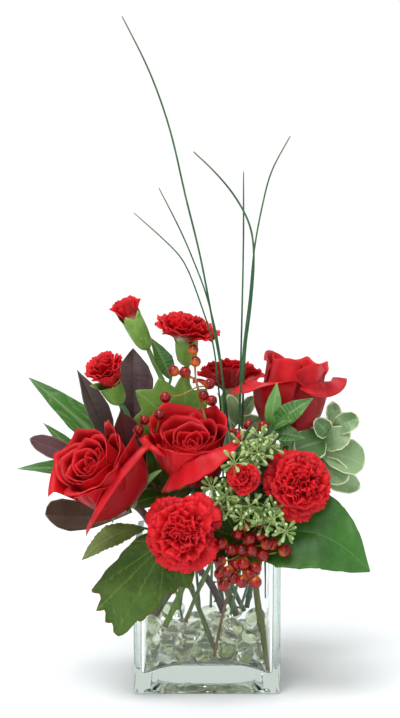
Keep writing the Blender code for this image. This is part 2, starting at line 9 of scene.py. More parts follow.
import bpy
import numpy as np
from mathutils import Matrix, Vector


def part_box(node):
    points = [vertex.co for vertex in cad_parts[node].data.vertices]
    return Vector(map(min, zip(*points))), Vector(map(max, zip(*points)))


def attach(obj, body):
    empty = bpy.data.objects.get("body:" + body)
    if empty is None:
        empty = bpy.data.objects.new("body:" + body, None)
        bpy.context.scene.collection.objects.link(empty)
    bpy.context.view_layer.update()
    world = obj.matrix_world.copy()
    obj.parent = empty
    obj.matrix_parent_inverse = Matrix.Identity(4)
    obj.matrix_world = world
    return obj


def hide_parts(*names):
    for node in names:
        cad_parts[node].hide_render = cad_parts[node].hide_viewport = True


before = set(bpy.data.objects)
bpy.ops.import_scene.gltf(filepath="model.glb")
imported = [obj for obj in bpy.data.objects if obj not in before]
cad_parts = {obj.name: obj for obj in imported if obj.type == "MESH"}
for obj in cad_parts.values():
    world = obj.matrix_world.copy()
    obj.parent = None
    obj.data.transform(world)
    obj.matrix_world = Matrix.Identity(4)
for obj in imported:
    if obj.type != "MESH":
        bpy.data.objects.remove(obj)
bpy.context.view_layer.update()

MM = 0.001
X, _, Z = np.eye(3)
SKEW = (0.31, 0.52, 0.79)  # a direction that no axis here is parallel to, for finding a side
GOLDEN_ANGLE = 137.508


# ---------------------------------------------------------------- places on the frame


def spot(node, share):
    """The point that lies at these shares of a CAD node's box."""
    low, high = (np.array(corner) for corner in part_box(node))
    return low + (high - low) * np.array(share)


def node_points(node):
    """The vertices of a CAD node."""
    return np.array([v.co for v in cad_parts[node].data.vertices])


def unit(vector):
    """The vector at length 1."""
    return np.asarray(vector, float) / np.linalg.norm(vector)


class Flower:
    """How a CAD node of a flower stands: its foot, axis, radius and height, with a right and an up side."""

    def __init__(self, node, below):
        self.points = node_points(node)
        self.middle = self.points.mean(0)
        axis = unit(self.middle - node_points(below).mean(0))
        rise = (self.points - self.middle) @ axis
        out = (self.points - self.middle) - rise[:, None] * axis
        self.radius = np.linalg.norm(out, axis=1).max()
        self.stand_along(axis)

    def stand_along(self, axis):
        """Takes the height and the foot of the node along this axis, and turns to it."""
        rise = (self.points - self.middle) @ axis
        self.height = rise.max() - rise.min()
        self.foot = self.middle + axis * rise.min()
        self.turn_to(axis)

    def turn_to(self, axis):
        """Turns about the foot until the flower points this way."""
        self.axis = unit(axis)
        self.right = unit(X - self.axis * (X @ self.axis))
        self.up = np.cross(self.axis, self.right)

    def place(self, local):
        """Points given as (right, up, along the axis) from the foot, as points of the frame."""
        return self.foot + local @ np.array([self.right, self.up, self.axis])


# ---------------------------------------------------------------- mesh building


def smoothstep(low, high, value):
    """0 at low, 1 at high, and eased between."""
    share = np.clip((value - low) / (high - low), 0, 1)
    return share * share * (3 - 2 * share)


def surface_normals(grid):
    """The unit normals of a surface given as a grid of points."""
    along = np.gradient(grid, axis=0)
    across = np.gradient(grid, axis=1)
    normal = np.cross(along, across)
    size = np.linalg.norm(normal, axis=2, keepdims=True)
    return normal / np.maximum(size, 1e-12)


def smooth_curve(points, per_span):
    """Points along a Catmull-Rom curve through the given ones."""
    p = np.asarray(points, float)
    p = np.vstack([2 * p[0] - p[1], p, 2 * p[-1] - p[-2]])
    t = (np.arange(per_span) / per_span)[:, None]
    spans = []
    for a, b, c, d in zip(p, p[1:], p[2:], p[3:]):
        square, cube = 2 * a - 5 * b + 4 * c - d, 3 * b - a - 3 * c + d
        spans.append((2 * b + (c - a) * t + square * t**2 + cube * t**3) / 2)
    return np.vstack([*spans, p[-2:-1]])


class Shape:
    """Gathers closed parts into one mesh, with a few numbers per point for the materials to read.

    along and across are shares of a part's length and width, tint is its own shade, and vein and edge are
    the distances to the nearest vein and rim in metres, 1 where there is none. PLAIN is what a part has unless
    it says otherwise.
    """

    PLAIN = {"along": 0.0, "across": 0.0, "tint": 0.5, "vein": 1.0, "edge": 1.0}

    def __init__(self):
        self.points, self.faces, self.values = [], [], {channel: [] for channel in self.PLAIN}
        self.count = 0

    def add(self, points, faces, values):
        """One part: its points, arrays of faces with equal corner counts, and its values."""
        self.points.append(points)
        self.faces.extend(f + self.count for f in faces)
        for channel, plain in self.PLAIN.items():
            self.values[channel].append(np.broadcast_to(values.get(channel, plain), len(points)))
        self.count += len(points)

    def sheet(self, grid, thickness, **values):
        """A thin closed sheet, whose middle surface is a grid of points."""
        rows, columns = grid.shape[:2]
        offset = surface_normals(grid) * (thickness / 2)
        points = np.vstack([(grid + offset).reshape(-1, 3), (grid - offset).reshape(-1, 3)])
        index = np.arange(rows * columns).reshape(rows, columns)
        back = index + rows * columns
        quads = np.stack([index[:-1, :-1], index[1:, :-1], index[1:, 1:], index[:-1, 1:]], -1).reshape(-1, 4)
        rim = np.concatenate([index[0, :], index[1:, -1], index[-1, -2::-1], index[-2:0:-1, 0]])
        after = np.roll(rim, -1)
        far = back.ravel()
        band = np.stack([rim, after, far[after], far[rim]], -1)
        twice = {}
        for channel, value in values.items():
            flat = np.broadcast_to(value, (rows, columns)).ravel()
            twice[channel] = np.concatenate([flat, flat])
        self.add(points, [quads, quads[:, ::-1] + rows * columns, band], twice)

    def rings(self, rings, start, end, **values):
        """A closed body through equal rings of points, drawn together to a point at each end."""
        count, sides = rings.shape[:2]
        index = np.arange(count * sides).reshape(count, sides)
        turned = np.roll(index, -1, axis=1)
        quads = np.stack([index[:-1], turned[:-1], turned[1:], index[1:]], -1).reshape(-1, 4)
        first = np.stack([turned[0], index[0], np.full(sides, count * sides)], -1)
        last = np.stack([index[-1], turned[-1], np.full(sides, count * sides + 1)], -1)
        points = np.vstack([rings.reshape(-1, 3), start, end])
        spread = {}
        for channel, value in values.items():
            flat = np.broadcast_to(value, (count, sides)).ravel()
            spread[channel] = np.concatenate([flat, flat[:1], flat[-1:]])
        self.add(points, [quads, first, last], spread)

    def tube(self, route, radii, sides, **values):
        """A round body along a route of points."""
        tangent = np.gradient(route, axis=0)
        tangent /= np.linalg.norm(tangent, axis=1, keepdims=True)
        side = unit(np.cross(tangent[0], SKEW))
        angle = np.linspace(0, 2 * math.pi, sides, endpoint=False)[:, None]
        rings = []
        for point, ahead, radius in zip(route, tangent, np.broadcast_to(radii, len(route))):
            side = unit(side - ahead * (side @ ahead))
            rings.append(point + radius * (np.cos(angle) * side + np.sin(angle) * np.cross(ahead, side)))
        values.setdefault("along", np.linspace(0, 1, len(route))[:, None])
        self.rings(np.array(rings), route[0], route[-1], **values)

    def turned(self, profile, centre, axis, sides, **values):
        """A turned body: profile is (radius, height) pairs in metres, and its ends lie on the axis."""
        side = unit(np.cross(axis, SKEW))
        angle = np.linspace(0, 2 * math.pi, sides, endpoint=False)[:, None]
        around = np.cos(angle) * side + np.sin(angle) * np.cross(axis, side)
        rings = np.array([centre + radius * around + height * axis for radius, height in profile[1:-1]])
        values.setdefault("along", np.linspace(0, 1, len(rings))[:, None])
        self.rings(rings, centre + profile[0, 1] * axis, centre + profile[-1, 1] * axis, **values)

    def build(self, name, finish, slot, *nodes):
        """The finished piece, riding on the frame's body in place of these CAD nodes."""
        mesh = bpy.data.meshes.new(name)
        points = np.vstack(self.points)
        totals = np.concatenate([np.full(len(f), f.shape[1]) for f in self.faces])
        corners = np.concatenate([f.ravel() for f in self.faces])
        mesh.vertices.add(len(points))
        mesh.vertices.foreach_set("co", points.astype(np.float32).ravel())
        mesh.loops.add(len(corners))
        mesh.loops.foreach_set("vertex_index", corners.astype(np.int32))
        mesh.polygons.add(len(totals))
        mesh.polygons.foreach_set("loop_start", (np.cumsum(totals) - totals).astype(np.int32))
        mesh.polygons.foreach_set("loop_total", totals.astype(np.int32))
        mesh.update(calc_edges=True)
        mesh.validate()
        for channel in self.PLAIN:
            layer = mesh.attributes.new(channel, "FLOAT", "POINT")
            layer.data.foreach_set("value", np.concatenate(self.values[channel]).astype(np.float32))
        mesh.shade_smooth()
        return finished(name, mesh, finish, slot, *nodes)


def finished(name, mesh, finish, slot, *nodes):
    """Links a mesh as a piece, gives it its material, and lets it ride."""
    piece = bpy.data.objects.new(name, mesh)
    bpy.context.scene.collection.objects.link(piece)
    mesh.materials.append(finish)
    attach(piece, "root")
    if nodes:
        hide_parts(*nodes)
    return piece


# ---------------------------------------------------------------- materials


class Finish:
    """A Principled material and short ways to add nodes to it."""

    def __init__(self, name, colour, roughness, **sockets):
        self.material = bpy.data.materials.new(name)
        self.material.use_nodes = True
        self.nodes = self.material.node_tree.nodes
        self.links = self.material.node_tree.links
        self.shader = self.nodes["Principled BSDF"]
        self.shader.inputs["Base Color"].default_value = (*colour, 1)
        self.shader.inputs["Roughness"].default_value = roughness
        for socket, value in sockets.items():
            self.shader.inputs[socket.replace("_", " ")].default_value = value

    def put(self, socket, value):
        """Links another node's output to a socket, or sets the socket's own value."""
        if isinstance(value, bpy.types.NodeSocket):
            self.links.new(value, socket)
        elif isinstance(value, tuple) and len(value) == 3 and socket.type == "RGBA":
            socket.default_value = (*value, 1)
        else:
            socket.default_value = value

    def attribute(self, name):
        """One of the numbers that a Shape keeps for each point."""
        node = self.nodes.new("ShaderNodeAttribute")
        node.attribute_name = name
        return node.outputs["Fac"]

    def math(self, operation, a, b, clamp=False):
        """A sum, difference or product of two values or node outputs."""
        node = self.nodes.new("ShaderNodeMath")
        node.operation = operation
        node.use_clamp = clamp
        self.put(node.inputs[0], a)
        self.put(node.inputs[1], b)
        return node.outputs[0]

    def between(self, value, low, high, to_low=0.0, to_high=1.0):
        """Value eased from to_low at low to to_high at high."""
        node = self.nodes.new("ShaderNodeMapRange")
        node.interpolation_type = "SMOOTHSTEP"
        for socket, number in zip(node.inputs[:5], (value, low, high, to_low, to_high)):
            self.put(socket, number)
        return node.outputs[0]

    def mix(self, share, a, b):
        """Colour a at share 0, colour b at share 1."""
        node = self.nodes.new("ShaderNodeMix")
        node.data_type = "RGBA"
        self.put(node.inputs["Factor"], share)
        self.put(node.inputs[6], a)
        self.put(node.inputs[7], b)
        return node.outputs[2]

    def vector(self, x, y, z):
        """Three values as one place."""
        node = self.nodes.new("ShaderNodeCombineXYZ")
        for socket, value in zip(node.inputs, (x, y, z)):
            self.put(socket, value)
        return node.outputs[0]

    def noise(self, scale, detail, place=None, stretch=None):
        """Smooth noise in space, or over a place of its own, drawn out where stretch is below 1."""
        if place is None:
            place = self.nodes.new("ShaderNodeTexCoord").outputs["Object"]
        if stretch:
            mapping = self.nodes.new("ShaderNodeMapping")
            self.links.new(place, mapping.inputs["Vector"])
            mapping.inputs["Scale"].default_value = stretch
            place = mapping.outputs[0]
        node = self.nodes.new("ShaderNodeTexNoise")
        self.links.new(place, node.inputs["Vector"])
        node.inputs["Scale"].default_value = scale
        node.inputs["Detail"].default_value = detail
        node.inputs["Roughness"].default_value = 0.55
        return node.outputs["Fac"]

    def colour(self, value):
        """Sets the base colour."""
        self.put(self.shader.inputs["Base Color"], value)

    def roughness(self, value):
        """Sets the roughness."""
        self.put(self.shader.inputs["Roughness"], value)

    def bump(self, height, strength, distance):
        """Raises the surface by a height, at most this distance in metres."""
        node = self.nodes.new("ShaderNodeBump")
        node.inputs["Strength"].default_value = strength
        node.inputs["Distance"].default_value = distance
        self.links.new(height, node.inputs["Height"])
        self.links.new(node.outputs[0], self.shader.inputs["Normal"])


def petal_finish(name, deep, bright, edge, claw, claw_end, roughness, sheen, rib=0.55):
    """Soft petal: fine ribs fanning out from the claw, blotches, a paler edge and a pale claw."""
    f = Finish(
        name, bright, roughness, Sheen_Weight=sheen, Sheen_Roughness=0.45, Sheen_Tint=(1.0, 0.45, 0.45, 1),
        Subsurface_Weight=0.12, Subsurface_Radius=(1.0, 0.12, 0.08), Subsurface_Scale=0.0025,
        Specular_IOR_Level=0.22,
    )
    along, across, tint = (f.attribute(c) for c in ("along", "across", "tint"))
    fan = f.vector(f.math("MULTIPLY", across, 9.0), f.math("MULTIPLY", along, 1.6),
                   f.math("MULTIPLY", tint, 37.0))
    ribs = f.noise(2.6, 4.0, fan)
    blotch = f.noise(70.0, 3.0)
    shade = f.math("ADD", f.math("MULTIPLY", ribs, rib), f.math("MULTIPLY", blotch, 1 - rib))
    shade = f.math("ADD", shade, f.math("MULTIPLY", f.math("SUBTRACT", tint, 0.5), 0.35))
    # Painted shade: the petal darkens towards the claw, where it lies deep inside the flower.
    shade = f.math("ADD", shade, f.between(along, 0.25, 0.9, -0.28, 0.06))
    body = f.mix(f.between(shade, 0.30, 0.62), deep, bright)
    body = f.mix(f.between(along, 0.86, 1.0, 0.0, 0.5), body, edge)
    body = f.mix(f.between(along, claw_end, claw_end * 0.35), body, claw)
    f.colour(body)
    f.roughness(f.between(blotch, 0.3, 0.7, roughness + 0.08, roughness - 0.08))
    f.bump(f.math("ADD", ribs, f.math("MULTIPLY", f.noise(900.0, 2.0), 0.35)), 0.35, 0.0006)
    return f.material


def leaf_finish(
    name, deep, bright, vein, edge, roughness, edge_width=0.0, vein_width=0.45, coat=0.0,
    tip=None, blotch_scale=45.0, vein_strength=0.75, specular=0.5, mottle=0.0,
):
    """Leaf blade: two shades in drifts, veins and a rim with widths in millimetres, and a cellular skin."""
    f = Finish(name, bright, roughness, Coat_Weight=coat, Coat_Roughness=0.25, Specular_IOR_Level=specular)
    along, tint, ribs, rim = (f.attribute(c) for c in ("along", "tint", "vein", "edge"))
    drift = f.noise(blotch_scale, 4.0)
    fine = f.noise(420.0, 2.0)
    shade = f.math("ADD", drift, f.math("MULTIPLY", f.math("SUBTRACT", tint, 0.5), 0.5))
    shade = f.math("ADD", shade, f.math("MULTIPLY", f.math("SUBTRACT", fine, 0.5), 0.25))
    body = f.mix(f.between(shade, 0.3, 0.72), deep, bright)
    if mottle:
        body = f.mix(f.math("MULTIPLY", f.between(f.noise(140.0, 3.0), 0.55, 0.7), mottle), body, edge)
    line = f.between(ribs, vein_width * MM, 0.0)
    body = f.mix(f.math("MULTIPLY", line, vein_strength), body, vein)
    if edge_width:
        ripple = f.math("MULTIPLY", f.math("SUBTRACT", f.noise(160.0, 2.0), 0.5), edge_width * MM)
        wavy = f.math("ADD", rim, ripple)
        body = f.mix(f.between(wavy, edge_width * MM, edge_width * 0.6 * MM), body, edge)
    if tip:
        body = f.mix(f.between(along, 0.86, 1.0), body, tip)
    f.colour(body)
    f.roughness(f.between(drift, 0.3, 0.7, roughness + 0.07, roughness - 0.07))
    height = f.math("SUBTRACT", f.math("MULTIPLY", fine, 0.5), f.between(ribs, 0.9 * MM, 0.0))
    f.bump(height, 0.35, 0.0005)
    return f.material


def stem_finish(name, deep, bright, cut):
    """Stem: long streaks, darker flecks, and a drier, browner cut end over its last 6%."""
    f = Finish(name, bright, 0.45, Specular_IOR_Level=0.2)
    along, tint = f.attribute("along"), f.attribute("tint")
    streak = f.noise(260.0, 4.0, stretch=(1, 1, 0.06))
    fleck = f.noise(1100.0, 2.0)
    shade = f.math("ADD", f.math("MULTIPLY", streak, 0.7), f.math("MULTIPLY", tint, 0.3))
    body = f.mix(f.between(shade, 0.35, 0.75), deep, bright)
    body = f.mix(f.between(fleck, 0.62, 0.72, 0.0, 0.5), body, deep)
    body = f.mix(f.between(along, 0.94, 1.0), body, cut)
    f.colour(body)
    f.roughness(f.between(streak, 0.3, 0.7, 0.55, 0.37))
    f.bump(f.math("ADD", streak, f.math("MULTIPLY", fleck, 0.3)), 0.4, 0.0005)
    return f.material


# ---------------------------------------------------------------- petals

REACH_AT = 0.7


def petal(azimuth, half_angle, foot, length, leans, rows, columns, edge, reach=None, fold=None, ruffle=None,
          spiral=0.0, twist=0.0, cup=0.0):
    """One petal as a grid of local points, from its claw at the flower's axis to its edge.

    leans gives the angle from the axis at shares of the length. reach fixes the radius at the share REACH_AT.
    fold is the angle at the left edge, middle and right edge, the share where it starts at the left and right
    edge, and its softness. edge scales the length across the petal, and ruffle is (depth, waves, power, seed).
    twist leans one side more than the other, cup leans both sides, and spiral sets one side further out.
    """
    v = np.linspace(0, 1, rows)[:, None]
    u = np.linspace(-1, 1, columns)[None, :]
    lean = np.radians(np.interp(v, *leans)) + 0 * u
    lean = lean + np.radians(twist) * u * v + np.radians(cup) * u**2 * v
    if fold:
        left, middle, right, start_left, start_right, soft = fold
        angle = middle + (right - left) / 2 * u + ((right + left) / 2 - middle) * u**2
        start = start_left + (start_right - start_left) * (u + 1) / 2
        lean = lean + np.radians(angle) * smoothstep(start, start + soft, v)
    span = length * edge(u) + 0 * u
    step = span / (rows - 1)
    out = np.cumsum(np.sin(lean) * step, axis=0) - np.sin(lean[:1]) * step
    rise = np.cumsum(np.cos(lean) * step, axis=0) - np.cos(lean[:1]) * step
    if reach:
        middle = int(rows * REACH_AT)
        scale = (reach - foot) / max(out[middle].mean(), 1e-6)
        out = np.where(v <= v[middle], out * scale, out[middle] * scale + (out - out[middle]))
    radius = foot + out * (1 + spiral * u)
    turn = math.radians(azimuth) + math.radians(half_angle) * u * (0.75 + 0.25 * v)
    if ruffle:
        depth, waves, power, seed = ruffle
        noise = np.random.default_rng(seed)
        a, b, c = noise.uniform(0, 2 * math.pi, 3)
        swell = depth * v**power
        wave = np.sin(math.pi * waves * u + a + 1.2 * v) + 0.55 * np.sin(math.pi * waves * 2.3 * u + b)
        wave = wave + 0.35 * np.sin(2.1 * u + c)
        radius = radius + swell * wave * np.cos(lean)
        rise = rise - swell * wave * np.sin(lean)
        sway = 0.5 * swell * np.cos(math.pi * waves * u + a + 0.6)
        turn = turn + sway / np.maximum(np.abs(radius), 4 * MM)
    return np.stack([radius * np.cos(turn), radius * np.sin(turn), rise], -1), v, u


def toothed(teeth, depth, seed, drop, corner):
    """A petal edge that falls away to its sides and is cut into small teeth."""
    shift = np.random.default_rng(seed).uniform(0, 1)

    def edge(u):
        saw = np.abs(((u * teeth / 2 + shift) % 1.0) - 0.5) * 2
        return 1 - drop * np.abs(u) ** corner + depth * (saw - 0.5)

    return edge


def rounded(drop=0.2, point=0.06, shares=None):
    """A rose petal's edge: broad with a faint point, or through shares at five places from side to side."""

    def edge(u):
        if shares:
            return np.polyval(np.polyfit(np.linspace(-1, 1, 5), shares, 4), u)
        return 1 - drop * np.abs(u) ** 2.8 + point * np.exp(-((u / 0.16) ** 2))

    return edge


# How a carnation opens: number of petals, then its outermost and innermost petal as length (share of the
# radius), half angle, lean at the shares LEAN_AT of the length, ruffle depth (share of the radius) and waves.
LEAN_AT = (0.0, 0.2, 0.4, 0.75, 1.0)
OPEN_CARNATION = (
    48, (1.22, 34, (20, 40, 86, 96, 108), 0.045, 2.4), (0.96, 62, (1, 2, 5, 6, 42), 0.115, 4.2),
)
UPRIGHT_CARNATION = (
    30, (1.20, 46, (22, 42, 58, 66, 88), 0.045, 2.6), (1.00, 66, (1, 2, 4, 5, 20), 0.085, 3.8),
)
HALF_OPEN_CARNATION = (
    28, (1.80, 42, (34, 42, 30, 22, 56), 0.055, 2.8), (1.84, 74, (4, 4, 3, 2, 24), 0.10, 4.0),
)
BUD_CARNATION = (
    13, (2.40, 64, (13, 10, 4, -3, -2), 0.04, 2.0), (2.55, 84, (2, 2, 0, -2, 3), 0.09, 3.2),
)


# A petal that leans out more than its neighbours does so by this much of the extra angle at each share.
TILT_AT = (0, 0.2, 0.8, 1, 1.5)


def part_way(outer, inner, share):
    """Numbers, or tuples of them, at this share of the way from an outer petal's to an inner one's."""
    if isinstance(outer, tuple):
        return [part_way(a, b, share) for a, b in zip(outer, inner)]
    return outer + (inner - outer) * share


def build_carnation(name, habit, seed, finish, foot_share, fit, outline=None, rows=11, columns=27, extra=(),
                    sink=0.0, shift=(0, 0, 0), nod=0.0):
    """Ruffled petals set round the axis by the golden angle, from the outside in, with toothed edges.

    outline gives the length by azimuth, extra adds single petals, fit scales the spread to the radius, and
    sink lowers the claws into the calyx. shift moves the bloom, in millimetres along its right, up and axis,
    and nod tips it over to its right, in degrees.
    """
    flower = Flower(f"carnation_{name}_bloom", f"carnation_{name}_calyx")
    flower.turn_to(flower.axis + flower.right * math.tan(math.radians(nod)))
    flower.foot = flower.place(np.array(shift) * MM)
    rng = np.random.default_rng(seed)
    count, outer, inner = habit
    size, grids = flower.radius, []

    def add(azimuth, half_angle, length, lean, depth, waves, foot, drop, corner, wild):
        seed_here = int(rng.integers(1e6))
        grid, v, u = petal(
            azimuth, half_angle, size * foot, size * length, (LEAN_AT, lean), rows, columns,
            edge=toothed(rng.uniform(8, 11), 0.055, seed_here, drop, corner),
            ruffle=(depth * size, waves * rng.uniform(0.8, 1.2), 1.7, seed_here),
            twist=rng.uniform(-26, 26) * wild, cup=rng.uniform(-26, 12) * wild,
        )
        grids.append((grid, v, u, rng.uniform(0, 1)))

    for k in range(count):
        inward = k / (count - 1)
        length, half_angle, lean, depth, waves = part_way(outer, inner, inward**0.9)
        azimuth = GOLDEN_ANGLE * k + rng.uniform(-14, 14)
        tilt = rng.uniform(-11, 11)
        lean = [angle + tilt * share for angle, share in zip(lean, TILT_AT)]
        reach = np.interp(azimuth % 360, *zip(*outline)) if outline else 1.0
        reach = 1 + (reach - 1) * (1 - inward)
        half_angle = half_angle * rng.uniform(0.85, 1.15)
        length = length * reach * rng.uniform(0.95, 1.04)
        foot = foot_share * (1 - 0.8 * inward)
        add(azimuth, half_angle, length, lean, depth, waves, foot, 0.20, 2.6, 0.35 + 0.65 * inward)
    widest = np.percentile([np.linalg.norm(g[-1, :, :2], axis=1).max() for g, _, _, _ in grids[:10]], 60)
    for azimuth, half_angle, length, lean, depth, waves in extra:
        add(azimuth, half_angle, length, lean, depth, waves, foot_share, 0.08, 5.0, 0.15)
    shape = Shape()
    for grid, v, u, tint in grids:
        grid[..., :2] *= fit * size / widest
        grid[..., 2] -= sink * size * (1 - v**0.5)
        shape.sheet(flower.place(grid), 0.3 * MM, along=v, across=u, tint=tint)
    shape.build(f"carnation_{name}_petals", finish, "carnation_petal", f"carnation_{name}_bloom")


def build_calyx(name, finish, flare, seed, tall, broad):
    """The green tube, flaring to five papery teeth, and the small bracts round its foot.

    tall and broad scale the height and the radius of the CAD node.
    """
    node = f"carnation_{name}_calyx"
    flower = Flower(node, f"carnation_{name}_stem")
    flower.stand_along(unit(node_points(f"carnation_{name}_bloom").mean(0) - flower.middle))
    length, wide = flower.height * tall, flower.radius * broad
    rng = np.random.default_rng(seed)
    shape = Shape()
    rows, columns = 16, 41
    v = np.linspace(0, 1, rows)[:, None]
    u = np.linspace(0, 1, columns)[None, :]
    tooth = 1 - np.abs(((u * 5) % 1.0) - 0.5) * 2
    top = length * (0.86 + 0.20 * tooth**0.8 + 0 * v)
    height = top * v
    swell = (0.34, 0.52, 0.78, 0.93, 0.97, 0.96, 0.98 + flare)
    radius = wide * np.interp(height / length, (0, 0.06, 0.2, 0.5, 0.8, 0.9, 1.06), swell)
    radius = radius + 0.012 * wide * np.sin(u * 2 * math.pi * 20)
    turn = 2 * math.pi * u + 0 * v
    grid = np.stack([radius * np.cos(turn), radius * np.sin(turn), height], -1)
    shape.sheet(flower.place(grid), 0.5 * MM, along=height / length / 1.06, across=tooth + 0 * v)
    for k in range(4):
        grid, v2, u2 = petal(
            90 * k + rng.uniform(-8, 8), 52, wide * 0.34, length * (0.42 if k % 2 else 0.34),
            ((0, 0.4, 1), (62, 24, 4)), 8, 9, edge=lambda u: 1 - 0.75 * np.abs(u) ** 1.4,
        )
        grid[..., 2] += 0.4 * MM
        grid[..., :2] *= 1.06
        shape.sheet(flower.place(grid), 0.45 * MM, along=0.25 + 0.5 * v2, across=u2, tint=0.2)
    shape.build(f"{node}_tube", finish, "calyx", node)


# Roses: the direction of the axis (None keeps the CAD's), the cup's radius in millimetres, the height of the
# inner rims as a share of the depth, how much the far side stands above the near side, and how deep the heart
# sits.
ROSE_HABIT = {
    "centre": ((-0.05, -0.27, 0.96), 31.0, 0.86, 0.13, 0.24),
    "left": (None, 25.0, 1.10, 0.05, 0.22),
    "right": ((0.15, 0.04, 0.985), 24.5, 0.84, 0.02, 0.12),
}
# Their outer petals, inner ones last: azimuth, half angle, reach (share of the cup's radius, 0 for as it
# grows), length (share of the depth), lean at the shares ROSE_LEAN_AT of the length, fold (see petal), twist,
# cup and outline (None for a plain rounded one).
ROSE_LEAN_AT = (0.0, 0.12, 0.3, 0.5, 0.75, 1.0)
OUTER_ROSE = {
    "centre": [
        (268, 55, 0, 1.38, (74, 66, 48, 16, 6, 8), (124, 138, 56, 0.60, 0.84, 0.05), -4, 10,
         (0.64, 0.85, 0.99, 1.04, 1.0)),
        (124, 58, 1.10, 1.23, (62, 46, 30, 18, 12, 10), (60, 30, 60, 0.93, 0.93, 0.1), 0, -5, None),
        (60, 46, 1.04, 1.15, (62, 46, 30, 18, 10, 8), (60, 30, 60, 0.92, 0.92, 0.1), 0, -5, None),
        (184, 44, 1.08, 1.12, (62, 46, 30, 18, 12, 12), (150, 110, 130, 0.84, 0.90, 0.08), 0, -5, None),
        (352, 46, 1.08, 1.10, (62, 46, 30, 20, 12, 14), (110, 90, 120, 0.92, 0.86, 0.1), 0, -5, None),
        (240, 58, 1.02, 1.00, (62, 46, 30, 18, 8, 4), (100, 90, 100, 0.95, 0.94, 0.08), 0, -5, None),
        (306, 52, 1.02, 0.98, (62, 46, 30, 18, 8, 4), (100, 90, 100, 0.94, 0.94, 0.08), 0, -5, None),
    ],
    "left": [
        (302, 62, 0, 1.24, (84, 80, 42, 6, -6, -2), (70, 116, 90, 0.86, 0.85, 0.06), -20, 52,
         (0.86, 0.95, 1.00, 1.04, 1.12)),
        (318, 54, 0, 1.24, (84, 78, 44, 4, -8, -8), (30, 70, 20, 0.92, 0.92, 0.06), -2, 34,
         (0.82, 0.92, 0.98, 1.04, 1.14)),
        (262, 46, 0, 1.20, (80, 74, 44, 12, -4, -4), (60, 70, 40, 0.93, 0.93, 0.07), 0, 10, None),
        (162, 44, 0, 1.32, (76, 60, 32, 10, 2, 4), (40, 50, 70, 0.93, 0.90, 0.07), 10, 4,
         (0.88, 0.95, 0.99, 1.01, 1.03)),
        (226, 44, 0, 1.20, (76, 64, 36, 12, 0, 2), (90, 80, 80, 0.90, 0.92, 0.07), -4, 6, None),
        (100, 58, 1.10, 1.28, (66, 48, 30, 16, 6, 2), (50, 35, 50, 0.93, 0.93, 0.1), 0, -5, None),
        (150, 54, 1.08, 1.28, (66, 48, 30, 16, 6, 4), (70, 56, 70, 0.92, 0.92, 0.1), 0, -5, None),
        (40, 30, 1.22, 1.36, (66, 50, 36, 20, 10, 6), (60, 20, 80, 0.93, 0.88, 0.1), 0, 0, None),
        (250, 54, 1.06, 1.18, (66, 48, 32, 16, 4, 2), (90, 80, 90, 0.92, 0.92, 0.1), 0, -5, None),
        (312, 52, 1.10, 1.14, (66, 48, 32, 16, 4, 2), (80, 70, 80, 0.92, 0.92, 0.1), 0, -5, None),
        (10, 50, 1.14, 1.20, (66, 48, 32, 18, 8, 4), (70, 56, 70, 0.92, 0.92, 0.1), 0, -5, None),
    ],
    "right": [
        (222, 52, 0, 1.15, (84, 78, 34, 8, -2, 0), (122, 118, 60, 0.68, 0.86, 0.07), -8, 6,
         (1.20, 1.04, 0.98, 0.96, 0.92)),
        (326, 50, 0, 1.27, (84, 76, 26, 4, 2, 4), (90, 145, 78, 0.78, 0.83, 0.05), 4, 6,
         (0.88, 0.95, 0.99, 1.0, 1.01)),
        (272, 44, 0, 0.98, (84, 76, 24, 4, 2, 4), (90, 110, 90, 0.90, 0.90, 0.07), 0, 0, None),
        (70, 56, 0, 1.20, (84, 74, 24, 6, 4, 4), (30, 16, 30, 0.93, 0.93, 0.1), 0, -5, None),
        (150, 46, 1.04, 1.20, (70, 56, 22, 2, 0, 4), (60, 10, 84, 0.95, 0.90, 0.08), 0, -5,
         (0.90, 0.98, 1.02, 1.0, 0.97)),
        (36, 44, 1.12, 1.12, (70, 56, 22, 2, 2, 8), (40, 20, 40, 0.93, 0.93, 0.08), 0, -5, None),
        (232, 50, 1.0, 1.19, (70, 56, 22, 0, -4, 0), (30, 10, 40, 0.94, 0.94, 0.06), 0, -5,
         (1.04, 0.95, 0.98, 1.0, 0.93)),
        (312, 50, 1.04, 1.13, (70, 56, 22, 0, -3, 0), (30, 14, 30, 0.94, 0.94, 0.06), 0, -5,
         (0.90, 0.99, 1.04, 0.96, 1.0)),
    ],
}


